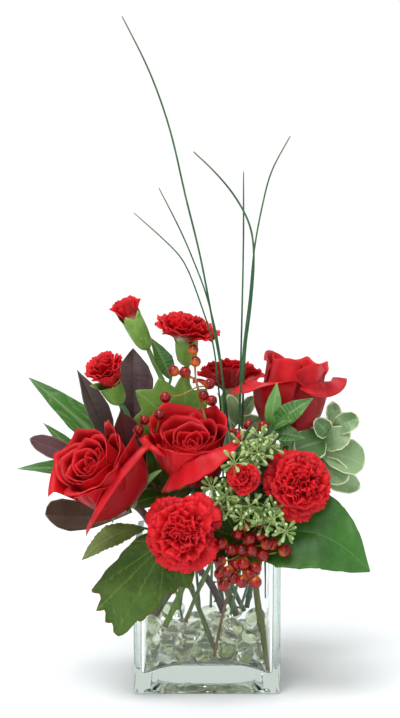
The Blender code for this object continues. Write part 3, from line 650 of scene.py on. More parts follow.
def build_rose(name, seed, finish):
    """Outer petals that roll back at the rim, then closer and closer ones, and a wound heart."""
    lean_to, cup, rim, rear, drop = ROSE_HABIT[name]
    flower = Flower(f"rose_{name}_bloom", f"rose_{name}_sepals")
    if lean_to:
        flower.turn_to(lean_to)
    rng = np.random.default_rng(seed)
    shape = Shape()
    depth = flower.height / 1.07
    cup *= MM
    foot = 5 * MM

    def add(azimuth, half_angle, reach, length, lean, fold, edge, spiral, ripple, twist=0, lift=-5):
        seed_here = int(rng.integers(1e6))
        grid, v, u = petal(
            azimuth, half_angle, foot, length, (ROSE_LEAN_AT, lean), 26, 27, reach=reach, fold=fold,
            edge=edge, ruffle=(ripple, 1.3, 1.5, seed_here), spiral=spiral, cup=lift, twist=twist,
        )
        shape.sheet(flower.place(grid), 0.45 * MM, along=v, across=u, tint=rng.uniform(0, 1))

    for azimuth, half_angle, reach, length, lean, fold, twist, lift, outline in OUTER_ROSE[name]:
        edge = rounded(shares=outline)
        add(azimuth, half_angle, reach * cup, length * depth, lean, fold, edge, 0.04, 0.6 * MM, twist, lift)
    share, turn = 0.88, rng.uniform(0, 360)
    for layer in range(6):
        for k in range(3):
            azimuth = turn + 120 * k
            close = 2 + 3.4 * layer
            lean = (62, 44, 26 - 3 * layer, 10 - 2 * layer, -close, -close - 3)
            high = rim - drop * (layer + 1) / 6 + rear * math.sin(math.radians(azimuth)) * (1 - layer / 7)
            roll = 80 - 9 * layer
            fold = (roll, 0.6 * roll, roll, 0.93, 0.93, 0.08)
            length = depth * (high + 0.16) * rng.uniform(0.98, 1.02)
            add(azimuth, 64 + 7 * layer, share * cup, length, lean, fold, rounded(0.16, 0.04), 0.12, 0.4 * MM)
            share -= 0.014
        turn += 47
        share -= 0.082
    turns = 3.2
    u = np.linspace(0, 1, 90)[None, :]
    v = np.linspace(0, 1, 12)[:, None]
    radius = cup * (0.22 - 0.19 * u) * (0.55 + 0.6 * np.sin(math.pi * (0.15 + 0.6 * v)))
    angle = 2 * math.pi * turns * u + 0.25 * v
    top = depth * (rim - drop + 0.02) + 1.2 * MM * np.sin(angle * 1.3)
    low = depth * 0.35
    grid = np.stack([radius * np.cos(angle), radius * np.sin(angle), low + (top - low) * v], -1)
    shape.sheet(flower.place(grid), 0.35 * MM, along=0.3 + 0.6 * v, across=u * 4, tint=0.3)
    shape.build(f"rose_{name}_petals", finish, "rose_petal", f"rose_{name}_bloom")


# The hip's turned outline: radius and height in millimetres.
HIP = [(0, 0), (2.9, 0), (3.4, 1.2), (5.2, 2.8), (6.3, 5.5), (6.4, 8), (5.6, 10.4), (5.4, 11.6), (7.4, 12.6),
       (0, 12.8)]


def build_sepals(name, finish, seed, sizes=(30, 27, 32, 28, 31)):
    """The rounded hip and five narrow sepals that bend back from it, with their lengths in millimetres."""
    node = f"rose_{name}_sepals"
    flower = Flower(node, f"rose_{name}_stem")
    axis = unit(node_points(f"rose_{name}_bloom").mean(0) - flower.middle)
    flower.stand_along(axis)
    rng = np.random.default_rng(seed)
    shape = Shape()
    shape.turned(np.array(HIP) * MM, flower.foot, axis, 20, tint=0.6)
    for k in range(5):
        size = sizes[k] * MM
        bend = rng.uniform(-12, 14)
        leans = ((0, 0.25, 0.6, 1), (84, 78 + bend, 66 + 2 * bend, 96 + 3 * bend))
        azimuth = 72 * k + rng.uniform(-7, 7)
        grid, v, u = petal(azimuth, 34, 5.6 * MM, size, leans, 14, 9, edge=lambda u: 1 - 0.1 * np.abs(u))
        taper = np.interp(v, (0, 0.25, 0.6, 0.9, 1), (1.0, 0.8, 0.36, 0.12, 0.03))
        spine = grid[:, 4:5, :]
        grid = spine + (grid - spine) * taper[..., None]
        grid[..., 2] += 11.8 * MM
        shape.sheet(flower.place(grid), 0.5 * MM, along=v, across=u, tint=0.4,
                    vein=np.abs(u) * 2 * MM + 0 * v)
    shape.build(f"{node}_green", finish, "rose_sepal", node)


# ---------------------------------------------------------------- leaves

# Half widths of the leaf shapes, as shares of the widest, at shares of the length.
OUTLINES = {
    "dagger": ((0, 0.2, 0.45, 0.65, 0.8, 0.92, 1.0), (0.3, 0.58, 0.93, 1.0, 0.76, 0.34, 0.01)),
    "drip": ((0, 0.03, 0.1, 0.22, 0.38, 0.55, 0.72, 0.85, 0.93, 1.0),
             (0.04, 0.46, 0.80, 0.98, 1.0, 0.88, 0.66, 0.40, 0.19, 0.01)),
    "oval": ((0, 0.04, 0.12, 0.3, 0.5, 0.7, 0.84, 0.92, 0.96, 1.0),
             (0.02, 0.34, 0.68, 0.97, 1.0, 0.84, 0.54, 0.28, 0.12, 0.01)),
    "lance": ((0, 0.1, 0.3, 0.5, 0.7, 0.88, 1.0), (0.06, 0.42, 0.9, 1.0, 0.78, 0.34, 0.01)),
    "ruscus": ((0, 0.08, 0.25, 0.45, 0.7, 0.9, 1.0), (0.1, 0.45, 0.9, 1.0, 0.66, 0.24, 0.01)),
    "paddle": ((0, 0.2, 0.5, 0.75, 0.9, 0.97, 1.0), (0.30, 0.52, 0.86, 1.0, 0.78, 0.42, 0.05)),
    "round": ((0, 0.1, 0.3, 0.6, 0.85, 0.96, 1.0), (0.1, 0.42, 0.84, 1.0, 0.8, 0.42, 0.05)),
}


def blade_frame(base, tip, face):
    """The length of a blade, and the directions along it, out of its face and across it."""
    length = np.linalg.norm(tip - base)
    ahead = (tip - base) / length
    up = unit(np.asarray(face) - ahead * (ahead @ np.asarray(face)))
    return length, ahead, up, np.cross(ahead, up)


def leaf_sheet(shape, base, tip, width, face, outline, bow, cup, rows, columns, thickness=0.4, wave=0.0,
               waves=2.0, teeth=0, tooth=0.0, veins=7.0, slope=0.9, sway=0.0, tint=0.5, curl=0.0, seed=0,
               midrib=1.0):
    """One leaf blade from its base to its tip, with veins.

    width, thickness, bow, wave, sway and curl are in millimetres, and so is veins, the pitch of the side
    veins. teeth is how many teeth a side has, tooth their depth as a share of the half width, cup the lift of
    the sides as a share of the width, and midrib scales the groove along the middle.
    """
    length, ahead, up, side = blade_frame(base, tip, face)
    t = np.linspace(0, 1, rows)[:, None]
    c = np.linspace(-1, 1, columns)[None, :]
    rng = np.random.default_rng(seed)
    a, b = rng.uniform(0, 2 * math.pi, 2)
    half = width * MM / 2 * np.interp(t, *OUTLINES[outline])
    saw = ((t * teeth) % 1.0) if teeth else 0.0
    x = half * c * (1 + tooth * (saw - 0.5) * np.abs(c) ** 4)
    y = length * t + 0 * c
    vein_pitch = veins * MM
    offset = y - slope * np.abs(x) - 6.0 * x**2
    lateral = np.abs(((offset + vein_pitch / 2) % vein_pitch) - vein_pitch / 2) / math.hypot(1, slope)
    vein = np.minimum(np.abs(x) * 0.6 + 0 * t, lateral + 0.25 * MM)
    z = bow * MM * np.sin(math.pi * t) + cup * np.abs(c) ** 1.8 * half * 2
    z = z - curl * MM * t**3
    ripple = np.sin(2 * math.pi * waves * t + a + 1.3 * np.sign(c))
    ripple = ripple + 0.4 * np.sin(4.7 * math.pi * waves * t + b)
    z = z + wave * MM * np.abs(c) ** 1.6 * ripple
    z = z - midrib * 0.5 * MM * np.exp(-((x / (1.2 * MM)) ** 2))
    z = z - 0.16 * MM * np.exp(-((lateral / (0.8 * MM)) ** 2))
    bend = sway * MM * np.sin(math.pi * t)
    grid = base + y[..., None] * ahead + (x + bend)[..., None] * side + z[..., None] * up
    rim = np.minimum(half * (1 - np.abs(c)), length * (1 - t) * 0.6)
    shape.sheet(grid, thickness * MM, along=t, across=c, tint=tint, vein=vein, edge=rim)


def palmate_sheet(shape, base, tip, face, lobes, mains, seed, rows=34, columns=121, drape=0.0, tint=0.5,
                  pitch=7.0):
    """A lobed leaf that fans out from its stalk.

    lobes are (angle from the middle, length) pairs in order, mains are the angles of its main veins, and
    pitch is the distance between its side veins.
    """
    _, ahead, up, side = blade_frame(base, tip, face)
    rng = np.random.default_rng(seed)
    angles = np.radians([a for a, _ in lobes])
    sizes = np.array([s for _, s in lobes]) * MM
    turn = np.linspace(angles[0], angles[-1], columns)[None, :]
    reach = np.interp(turn, angles, sizes)
    t = np.linspace(0, 1, rows)[:, None]
    x = reach * t * np.sin(turn)
    y = reach * t * np.cos(turn)
    vein = np.full(x.shape, 1.0)
    for angle in np.radians(mains):
        along = x * math.sin(angle) + y * math.cos(angle)
        apart = x * math.cos(angle) - y * math.sin(angle)
        vein = np.where(along > 0, np.minimum(vein, np.abs(apart) * 0.6), vein)
        offset = along - 0.85 * np.abs(apart)
        lateral = np.abs(((offset + pitch * MM / 2) % (pitch * MM)) - pitch * MM / 2) / 1.31
        near = (along > 3 * MM) & (np.abs(apart) < 0.42 * np.maximum(along, 1e-6))
        vein = np.where(near, np.minimum(vein, lateral + 0.2 * MM), vein)
    z = drape * MM * (t**2) * np.cos(turn * 1.7 + rng.uniform(0, 6))
    z = z + 1.6 * MM * t**1.5 * np.sin(turn * 6 + rng.uniform(0, 6))
    z = z - 0.55 * MM * np.exp(-((vein / (1.0 * MM)) ** 2)) - 0.0022 * (x / 0.035) ** 2
    grid = base + y[..., None] * ahead + x[..., None] * side + z[..., None] * up
    shape.sheet(grid, 0.45 * MM, along=t, across=turn / 3 + 0 * t, tint=tint, vein=vein, edge=reach * (1 - t))


# These stalks go on from the end of their CAD node, through the vase's mouth, down to the gems.
LONG_STALKS = (
    "salal_leaf_back_left", "salal_leaf_back_right", "pittosporum_sprig_right", "pittosporum_sprig_centre",
    "ruscus_sprig_right",
)
GEMS_TOP = 58 * MM


def stalk_route(node, route):
    """The points of a stalk, from its cut end up."""
    points = [spot(node, share) for share in route]
    if node in LONG_STALKS:
        cut = np.array([0.55 * points[0][0], 0.55 * points[0][1], GEMS_TOP])
        points = [cut, (cut + points[0]) / 2, *points]
    return points


def build_leaf(node, base, tip, route, radius, into, finish, slot, blade, **form):
    """A leaf and its stalk, which goes on into the blade for this share of its length."""
    shape = Shape()
    foot, point = spot(node, base), spot(node, tip)
    blade(shape, foot, point, **form)
    stalk = smooth_curve([*stalk_route(node, route), foot, foot + into * (point - foot)], 8)
    shape.tube(stalk, radius * MM, 10, tint=0.8)
    shape.build(node + "_blade", finish, slot, node)


# ---------------------------------------------------------------- finishes

CARNATION_REDS = (0.30, 0.001, 0.004), (0.70, 0.007, 0.014), (0.80, 0.020, 0.030)
carnation_red = petal_finish("carnation_petals", *CARNATION_REDS, (0.75, 0.72, 0.50), 0.16, 0.5, 0.03)
pale_clawed_red = petal_finish("carnation_petals_pale_claw", *CARNATION_REDS, (0.74, 0.66, 0.46), 0.62, 0.5,
                               0.03)
rose_red = petal_finish(
    "rose_petals", (0.30, 0.001, 0.005), (0.60, 0.006, 0.012), (0.68, 0.018, 0.026), (0.55, 0.35, 0.15), 0.07,
    0.44, 0.04, rib=0.25,
)
calyx_green = leaf_finish(
    "carnation_calyx", (0.10, 0.25, 0.026), (0.26, 0.45, 0.08), (0.36, 0.5, 0.2), (0.4, 0.5, 0.2),
    vein_strength=0.0, roughness=0.45, tip=(0.34, 0.44, 0.12),
)
sepal_green = leaf_finish(
    "rose_sepals", (0.09, 0.19, 0.05), (0.24, 0.38, 0.14), (0.25, 0.38, 0.14), (0.2, 0.3, 0.1),
    vein_width=0.5, roughness=0.48,
)
salal_green = leaf_finish(
    "salal_leaf", (0.020, 0.100, 0.010), (0.052, 0.185, 0.022), (0.09, 0.27, 0.05), (0.03, 0.10, 0.015),
    vein_width=0.55, roughness=0.44, coat=0.06, blotch_scale=28.0, vein_strength=0.6, specular=0.4,
)
viburnum_green = leaf_finish(
    "viburnum_leaf", (0.028, 0.074, 0.003), (0.060, 0.130, 0.008), (0.12, 0.21, 0.03), (0.20, 0.07, 0.02),
    edge_width=0.9, vein_width=0.6, roughness=0.55, blotch_scale=36.0, mottle=0.08, specular=0.3,
)
lobed_green = leaf_finish(
    "lobed_leaf", (0.060, 0.150, 0.008), (0.130, 0.270, 0.026), (0.20, 0.34, 0.07), (0.16, 0.20, 0.05),
    edge_width=0.6, vein_width=0.5, roughness=0.5, blotch_scale=36.0,
)
olive_green = leaf_finish(
    "olive_leaf", (0.085, 0.145, 0.022), (0.19, 0.26, 0.06), (0.26, 0.34, 0.12), (0.15, 0.15, 0.05),
    edge_width=0.6, vein_width=0.5, roughness=0.5,
)
dark_leaf = {
    "west": ((0.085, 0.026, 0.032), (0.150, 0.060, 0.062), (0.22, 0.12, 0.11)),
    "low": ((0.050, 0.028, 0.018), (0.115, 0.070, 0.044), (0.13, 0.08, 0.05)),
    "upper": ((0.060, 0.036, 0.034), (0.105, 0.085, 0.078), (0.14, 0.10, 0.09)),
    "tall": ((0.045, 0.010, 0.012), (0.110, 0.066, 0.070), (0.10, 0.03, 0.03)),
    "inner": ((0.060, 0.014, 0.016), (0.130, 0.034, 0.036), (0.12, 0.05, 0.04)),
    "dark": ((0.018, 0.008, 0.008), (0.045, 0.018, 0.016), (0.06, 0.03, 0.03)),
}
ruscus_green = leaf_finish(
    "ruscus_leaf", (0.040, 0.160, 0.018), (0.110, 0.320, 0.045), (0.32, 0.50, 0.22), (0.10, 0.28, 0.05),
    vein_width=0.8, roughness=0.36, coat=0.15, vein_strength=0.55,
)
pittosporum_green = leaf_finish(
    "pittosporum_leaf", (0.085, 0.200, 0.055), (0.290, 0.450, 0.210), (0.46, 0.58, 0.36), (0.80, 0.84, 0.52),
    edge_width=1.2, vein_width=0.4, roughness=0.42, vein_strength=0.35, coat=0.1,
)
berry_red = Finish("viburnum_berry", (0.30, 0.008, 0.006), 0.16, Coat_Weight=0.25, Coat_Roughness=0.05,
                   Specular_IOR_Level=0.35)
stalk_brown = stem_finish("berry_stalk", (0.22, 0.12, 0.03), (0.42, 0.28, 0.08), (0.3, 0.2, 0.06))
eucalyptus_green = leaf_finish(
    "eucalyptus_seeds", (0.16, 0.28, 0.06), (0.40, 0.53, 0.19), (0.3, 0.45, 0.2), (0.4, 0.5, 0.3),
    vein_strength=0.0, roughness=0.5, tip=(0.62, 0.68, 0.36),
)
spray_leaf = leaf_finish(
    "eucalyptus_leaf", (0.016, 0.060, 0.016), (0.050, 0.130, 0.042), (0.12, 0.22, 0.09), (0.10, 0.08, 0.04),
    edge_width=0.5, vein_width=0.4, roughness=0.5,
)
grass_green = Finish("lily_grass", (0.035, 0.130, 0.045), 0.42, Specular_IOR_Level=0.4)


def finish_berries(f):
    """Glossy red skin, orange towards the stalk, with a dark eye where the flower was."""
    along, tint = f.attribute("along"), f.attribute("tint")
    drift = f.noise(120.0, 3.0)
    body = f.mix(f.between(drift, 0.3, 0.7), (0.12, 0.001, 0.002), (0.34, 0.004, 0.004))
    ripe = f.math("ADD", f.math("MULTIPLY", f.between(along, 0.45, 0.05), 0.8), tint, clamp=True)
    body = f.mix(f.between(ripe, 0.35, 1.1), body, (0.62, 0.14, 0.015))
    body = f.mix(f.between(along, 0.93, 0.98), body, (0.05, 0.02, 0.01))
    f.colour(body)
    f.roughness(f.between(drift, 0.3, 0.7, 0.18, 0.10))
    f.bump(f.noise(600.0, 2.0), 0.08, 0.0003)


def finish_grass(f):
    """Dark green blade with fine lengthwise lines and a dry tip."""
    generated = f.nodes.new("ShaderNodeTexCoord").outputs["Generated"]
    split = f.nodes.new("ShaderNodeSeparateXYZ")
    f.links.new(generated, split.inputs[0])
    height = split.outputs[2]
    streak = f.noise(900.0, 3.0, stretch=(1, 1, 0.03))
    drift = f.noise(30.0, 2.0)
    body = f.mix(f.between(drift, 0.3, 0.7), (0.014, 0.075, 0.026), (0.036, 0.130, 0.038))
    body = f.mix(f.between(streak, 0.5, 0.7, 0.0, 0.6), body, (0.09, 0.20, 0.07))
    body = f.mix(f.between(height, 0.90, 1.0, 0.0, 0.75), body, (0.16, 0.15, 0.06))
    f.colour(body)
    f.bump(streak, 0.4, 0.0003)


finish_berries(berry_red)
finish_grass(grass_green)

# ---------------------------------------------------------------- carnations

# Length of the front carnation's outer petals by azimuth.
FRONT_OUTLINE = [
    (0, 0.72), (20, 0.84), (42, 1.24), (65, 1.10), (90, 0.95), (115, 0.98), (140, 1.14), (165, 1.02),
    (205, 1.0), (230, 1.07), (250, 1.0), (270, 0.98), (290, 1.06), (307, 1.16), (330, 0.90), (360, 0.72),
]
# Single long petals: azimuth, half angle, length, leans, ruffle depth and waves.
FRONT_FLAPS = [
    (44, 28, 1.46, (18, 28, 62, 72, 84), 0.03, 1.4),
    (308, 26, 1.36, (18, 28, 64, 78, 90), 0.03, 1.4),
    (184, 30, 1.10, (16, 24, 56, 66, 78), 0.03, 1.4),
]
RIGHT_FLAPS = [
    (215, 30, 1.16, (18, 26, 60, 70, 84), 0.03, 1.4),
    (250, 30, 1.10, (18, 24, 52, 62, 80), 0.03, 1.4),
]
MINI_CARNATION = (26, *OPEN_CARNATION[1:])
build_carnation("front", OPEN_CARNATION, 11, carnation_red, 0.08, 1.03, FRONT_OUTLINE, extra=FRONT_FLAPS,
                shift=(-2, -2, 0))
build_carnation("right", OPEN_CARNATION, 12, carnation_red, 0.08, 0.95, extra=RIGHT_FLAPS, shift=(2, 2, 0))
build_carnation("mini", MINI_CARNATION, 13, carnation_red, 0.08, 0.96, rows=9, columns=17, shift=(-3, -1, 0))
build_carnation("top", UPRIGHT_CARNATION, 14, pale_clawed_red, 0.16, 1.04, shift=(-2, 0, -11), nod=10.0)
build_carnation("back", UPRIGHT_CARNATION, 15, carnation_red, 0.16, 1.06, sink=0.05, shift=(1, 0, -4))
build_carnation("left", HALF_OPEN_CARNATION, 16, carnation_red, 0.16, 1.12, columns=23, sink=0.3,
                shift=(4, -2, -1))
build_carnation("bud", BUD_CARNATION, 17, pale_clawed_red, 0.28, 0.74, rows=14, columns=17, sink=0.9,
                shift=(0, 0, -5))
for number, (name, flare, tall, broad) in enumerate((
    ("front", 0.1, 1.0, 1.0), ("right", 0.1, 1.0, 1.0), ("mini", 0.1, 1.0, 1.0), ("top", 0.14, 0.88, 1.25),
    ("back", 0.12, 0.84, 1.1), ("left", 0.62, 1.30, 1.30), ("bud", 0.16, 1.24, 0.90),
)):
    build_calyx(name, calyx_green, flare, 40 + number, tall, broad)

# ---------------------------------------------------------------- roses

build_rose("centre", 21, rose_red)
build_rose("left", 22, rose_red)
build_rose("right", 23, rose_red)
build_sepals("centre", sepal_green, 60)
build_sepals("left", sepal_green, 61, (40, 32, 22, 20, 27))
build_sepals("right", sepal_green, 62)

# ---------------------------------------------------------------- stems

# Route of each stem from the flower down to its cut end, as shares of its node's box; radius; colours.
STEMS = {
    "carnation_front_stem": (
        [(0.84, 0.03, 0.98), (0.86, 0.49, 0.94), (0.91, 0.91, 0.85), (0.87, 0.64, 0.59), (0.45, 0.51, 0.25),
         (0.07, 0.46, 0.01)],
        2.2, (0.18, 0.34, 0.02), (0.40, 0.60, 0.05), (0.30, 0.16, 0.07),
    ),
    "carnation_right_stem": (
        [(0.92, 0.49, 0.99), (0.78, 0.83, 0.96), (0.42, 0.92, 0.84), (0.15, 0.7, 0.65), (0.11, 0.45, 0.44),
         (0.54, 0.08, 0.0)],
        2.5, (0.14, 0.17, 0.03), (0.30, 0.32, 0.07), (0.3, 0.24, 0.12),
    ),
    "carnation_top_stem": (
        [(0.07, 0.07, 1.0), (0.07, 0.11, 0.95), (0.23, 0.13, 0.74), (0.51, 0.49, 0.43), (0.78, 0.75, 0.21),
         (0.95, 0.93, 0.0)],
        2.0, (0.08, 0.19, 0.06), (0.22, 0.36, 0.14), (0.2, 0.2, 0.1),
    ),
    "carnation_back_stem": (
        [(0.08, 0.89, 1.0), (0.12, 0.71, 0.94), (0.4, 0.57, 0.68), (0.85, 0.23, 0.39), (0.9, 0.12, 0.21),
         (0.65, 0.12, 0.0)],
        2.0, (0.07, 0.20, 0.12), (0.18, 0.36, 0.24), (0.2, 0.2, 0.1),
    ),
    "carnation_mini_stem": (
        [(0.96, 0.01, 0.99), (0.97, 0.2, 0.96), (0.89, 0.32, 0.92), (0.76, 0.57, 0.71), (0.55, 0.85, 0.51),
         (0.28, 0.92, 0.27), (0.02, 0.97, 0.0)],
        1.5, (0.16, 0.26, 0.05), (0.30, 0.42, 0.10), (0.3, 0.2, 0.1),
    ),
    "carnation_left_stem": (
        [(0.01, 0.05, 0.99), (0.06, 0.17, 0.95), (0.15, 0.39, 0.79), (0.44, 0.61, 0.52), (0.74, 0.78, 0.29),
         (0.99, 0.95, 0.0)],
        1.8, (0.10, 0.24, 0.10), (0.22, 0.40, 0.18), (0.2, 0.2, 0.1),
    ),
    "carnation_bud_stem": (
        [(0.03, 0.94, 1.0), (0.1, 0.96, 0.96), (0.26, 0.95, 0.86), (0.39, 0.8, 0.64), (0.5, 0.32, 0.41),
         (0.58, 0.11, 0.26), (0.97, 0.03, 0.0)],
        1.8, (0.11, 0.20, 0.05), (0.26, 0.36, 0.11), (0.2, 0.2, 0.1),
    ),
    "rose_left_stem": (
        [(0.03, 0.04, 0.98), (0.11, 0.14, 0.91), (0.25, 0.34, 0.74), (0.54, 0.63, 0.51), (0.8, 0.83, 0.29),
         (0.97, 0.96, 0.01)],
        2.7, (0.09, 0.06, 0.05), (0.20, 0.13, 0.10), (0.16, 0.12, 0.06),
    ),
    "rose_centre_stem": (
        [(0.07, 0.08, 0.99), (0.09, 0.29, 0.9), (0.14, 0.28, 0.83), (0.44, 0.58, 0.55), (0.69, 0.78, 0.26),
         (0.94, 0.91, 0.01)],
        2.7, (0.10, 0.13, 0.04), (0.24, 0.28, 0.09), (0.16, 0.12, 0.06),
    ),
    "rose_right_stem": (
        [(0.98, 0.92, 1.0), (0.97, 0.88, 0.92), (0.92, 0.91, 0.88), (0.7, 0.6, 0.67), (0.43, 0.29, 0.42),
         (0.19, 0.23, 0.22), (0.02, 0.08, 0.01)],
        2.7, (0.05, 0.14, 0.03), (0.16, 0.30, 0.08), (0.22, 0.14, 0.07),
    ),
    "leucadendron_stem": (
        [(0.07, 0.41, 0.99), (0.06, 0.08, 0.88), (0.36, 0.26, 0.69), (0.8, 0.41, 0.47), (0.96, 0.77, 0.22),
         (0.91, 0.92, 0.0)],
        2.2, (0.12, 0.08, 0.09), (0.26, 0.20, 0.20), (0.2, 0.14, 0.1),
    ),
}


def build_stem(node, route, radius, deep, bright, cut, seed):
    """A stem with swollen joints on carnations, or thorns on roses."""
    rng = np.random.default_rng(seed)
    line = smooth_curve([spot(node, share) for share in route], 14)
    steps = np.linalg.norm(np.diff(line, axis=0), axis=1)
    travelled = np.concatenate([[0], np.cumsum(steps)])
    radii = np.full(len(line), radius * MM * 1.18) * (1 + 0.03 * np.sin(travelled * 190 + seed))
    shape = Shape()
    joints = np.arange(rng.uniform(20, 40), travelled[-1] / MM, 46) * MM
    if node.startswith("carnation"):
        for joint in joints:
            radii = radii * (1 + 0.42 * np.exp(-(((travelled - joint) / (2.2 * MM)) ** 2)))
    shape.tube(line, radii, 14, tint=rng.uniform(0.2, 0.8))
    if node.startswith("rose"):
        for k, joint in enumerate(np.arange(12, travelled[-1] / MM - 6, 17) * MM):
            at = int(np.searchsorted(travelled, joint))
            ahead = unit(line[min(at + 1, len(line) - 1)] - line[at - 1])
            out = unit(np.cross(ahead, unit(np.array([math.cos(2.4 * k), math.sin(2.4 * k), 0.3]))))
            root = line[at] + out * radius * MM * 0.7
            spike = [root, root + out * 2.2 * MM + ahead * 0.6 * MM, root + out * 4.0 * MM + ahead * 1.8 * MM]
            shape.tube(smooth_curve(spike, 3), np.linspace(1.5, 0.12, 7) * MM, 8, tint=0.9)
    finish = stem_finish(node + "_skin", deep, bright, cut)
    shape.build(node + "_full", finish, "rose_stem" if node.startswith("rose") else "stem", node)


for number, (node, (route, radius, deep, bright, cut)) in enumerate(STEMS.items()):
    build_stem(node, route, radius, deep, bright, cut, 80 + number)

# ---------------------------------------------------------------- lily grass

# Half width of a blade in millimetres, at shares of its height.
BLADE_WIDTH = ((0.0, 0.3, 0.6, 0.9, 1.0), (1.25, 1.05, 1.0, 0.88, 0.62))
BLADES = {"tall": 1.0, "left_high": 0.85, "left_low": 0.85, "arched": 1.1, "upright": 0.95, "right_high": 0.9}
RING_GAP = 4 * MM  # rings of a blade are further apart than this, and a ring's own points are closer


def build_blade(name, broad):
    """A narrow arching blade through the rings of points of its CAD node, as wide as BLADE_WIDTH says."""
    node = "lily_grass_" + name
    points = node_points(node)
    order = np.argsort(points[:, 2])
    low, high = points[order[0], 2], points[order[-1], 2]
    breaks = np.nonzero(np.diff(points[order, 2]) > RING_GAP)[0] + 1
    for ring in np.split(order, breaks):
        middle = np.unique(points[ring].round(6), axis=0).mean(0)
        out = points[ring] - middle
        goal = broad * MM * np.interp((middle[2] - low) / (high - low), *BLADE_WIDTH)
        points[ring] = middle + out * goal / np.linalg.norm(out, axis=1).max()
    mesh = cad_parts[node].data.copy()
    mesh.vertices.foreach_set("co", points.astype(np.float32).ravel())
    mesh.materials.clear()
    blade = finished(node + "_blade", mesh, grass_green.material, "grass_blade", node)
    weld = blade.modifiers.new("weld", "WELD")
    weld.merge_threshold = 0.00001
    smooth = blade.modifiers.new("smooth", "SUBSURF")
    smooth.levels = smooth.render_levels = 2


for name, broad in BLADES.items():
    build_blade(name, broad)

# ---------------------------------------------------------------- leaves

# Salal leaves: base, tip, width, the direction they face, bow and the route of the stalk.
SALAL = {
    "right": (
        (0.016, 0.386, 0.736), (1.0, 0.22, 0.43), 73, (0.1, -0.89, 0.44), 13,
        [(0.07, 0.99, 0.007), (0.059, 0.782, 0.298), (0.037, 0.532, 0.642)],
    ),
    "back_left": (
        (0.758, 0.4, 0.356), (0.125, 1.005, 0.997), 58, (-0.2, -0.6, 0.75), 10,
        [(0.98, 0.017, 0.006), (0.853, 0.209, 0.239)],
    ),
    "back_right": (
        (0.322, 0.272, 0.359), (0.901, 1.004, 0.992), 54, (0.25, -0.6, 0.75), 10,
        [(0.017, 0.028, 0.008), (0.2, 0.126, 0.242)],
    ),
}
for number, (name, (base, tip, width, face, bow, route)) in enumerate(SALAL.items()):
    drooping = name == "right"
    build_leaf(
        "salal_leaf_" + name, base, tip, route, 1.3, 0.08, salal_green, "broad_leaf", leaf_sheet, width=width,
        face=face, outline="drip" if drooping else "oval", bow=bow, cup=0.10, rows=52, columns=29,
        thickness=0.45, wave=2.2, waves=1.6, teeth=46, tooth=0.03, veins=11, slope=0.75, seed=number + 3,
        sway=-12 if drooping else 0,
    )

# Lobes of the viburnum leaves: angle from the middle, and length in millimetres.
FRONT_LOBES = [
    (-112, 14), (-92, 26), (-76, 38), (-62, 46), (-52, 41), (-44, 47), (-38, 44), (-33, 50), (-28, 64),
    (-24, 66), (-21, 74), (-18, 73), (-15, 85), (-12, 92), (-8, 91), (-5, 84), (-1, 88), (4, 79), (8, 86),
    (12, 75), (15, 74), (20, 80), (24, 66), (28, 59), (32, 46), (38, 41), (45, 33), (62, 25), (80, 17),
    (100, 9),
]
REAR_LOBES = [
    (-100, 24), (-80, 39), (-66, 31), (-50, 48), (-38, 38), (-26, 50), (-14, 44), (0, 58), (12, 47), (24, 53),
    (36, 39), (50, 50), (64, 36), (80, 42), (100, 22),
]
build_leaf(
    "viburnum_leaf_front", (0.815, 0.41, 0.896), (0.091, 0.216, 0.009),
    [(0.775, 0.993, 0.575), (0.815, 0.669, 0.806)], 1.2, 0.06, viburnum_green, "viburnum_leaf", palmate_sheet,
    face=(-0.30, -0.90, 0.32), lobes=FRONT_LOBES, mains=(-60, -30, -10, 8, 20, 50), seed=4, drape=3.0,
)
build_leaf(
    "viburnum_leaf_lobed", (0.844, 0.762, 0.635), (0.019, 0.484, 0.962),
    [(0.866, 0.948, 0.001), (0.844, 0.855, 0.41)], 1.2, 0.06, lobed_green, "viburnum_leaf", palmate_sheet,
    face=(0.2, -0.9, 0.2), lobes=REAR_LOBES, mains=(-80, -50, -26, 0, 24, 50, 80), seed=5, rows=20,
    columns=61, tint=0.7, pitch=5.0,
)
build_leaf(
    "viburnum_leaf_side", (0.853, 0.467, 0.821), (-0.003, 0.189, 0.0),
    [(0.979, 0.983, 0.033), (0.948, 0.665, 0.624)], 1.1, 0.06, olive_green, "viburnum_leaf", leaf_sheet,
    width=22, face=(-0.15, -0.75, 0.65), outline="lance", bow=12, cup=0.10, rows=40, columns=15, wave=0.8,
    waves=2.5, teeth=14, tooth=0.14, veins=6, seed=9, tint=0.7,
)

# Leucadendron leaves: base, tip, width, the direction they face, bow, outline and cup.
LEUCADENDRON = {
    "west": ((0.992, 0.951, 0.033), (-0.009, 0.473, 0.97), 19, (-0.2, -0.85, 0.5), 4, "paddle", 0.14),
    "low": ((0.991, 0.969, 0.50), (-0.006, 0.009, 0.554), 32, (-0.2, -0.85, 0.5), -11, "paddle", 0.12),
    "upper": ((0.947, 0.952, 0.007), (0.014, 0.529, 1.008), 21, (0.4, -0.9, 0.1), 4, "lance", 0.16),
    "tall": ((0.511, 0.079, 0.001), (0.455, 0.99, 1.014), 34, (0.1, -0.95, 0.2), 3, "dagger", 0.16),
    "inner": ((0.672, 0.969, 0.009), (0.204, 0.055, 1.008), 27, (0.3, -0.95, 0.2), 2, "dagger", 0.15),
    "dark": ((0.56, 0.949, 0.002), (0.416, 0.387, 1.013), 36, (0.1, -1.0, 0.1), 2, "paddle", 0.12),
}
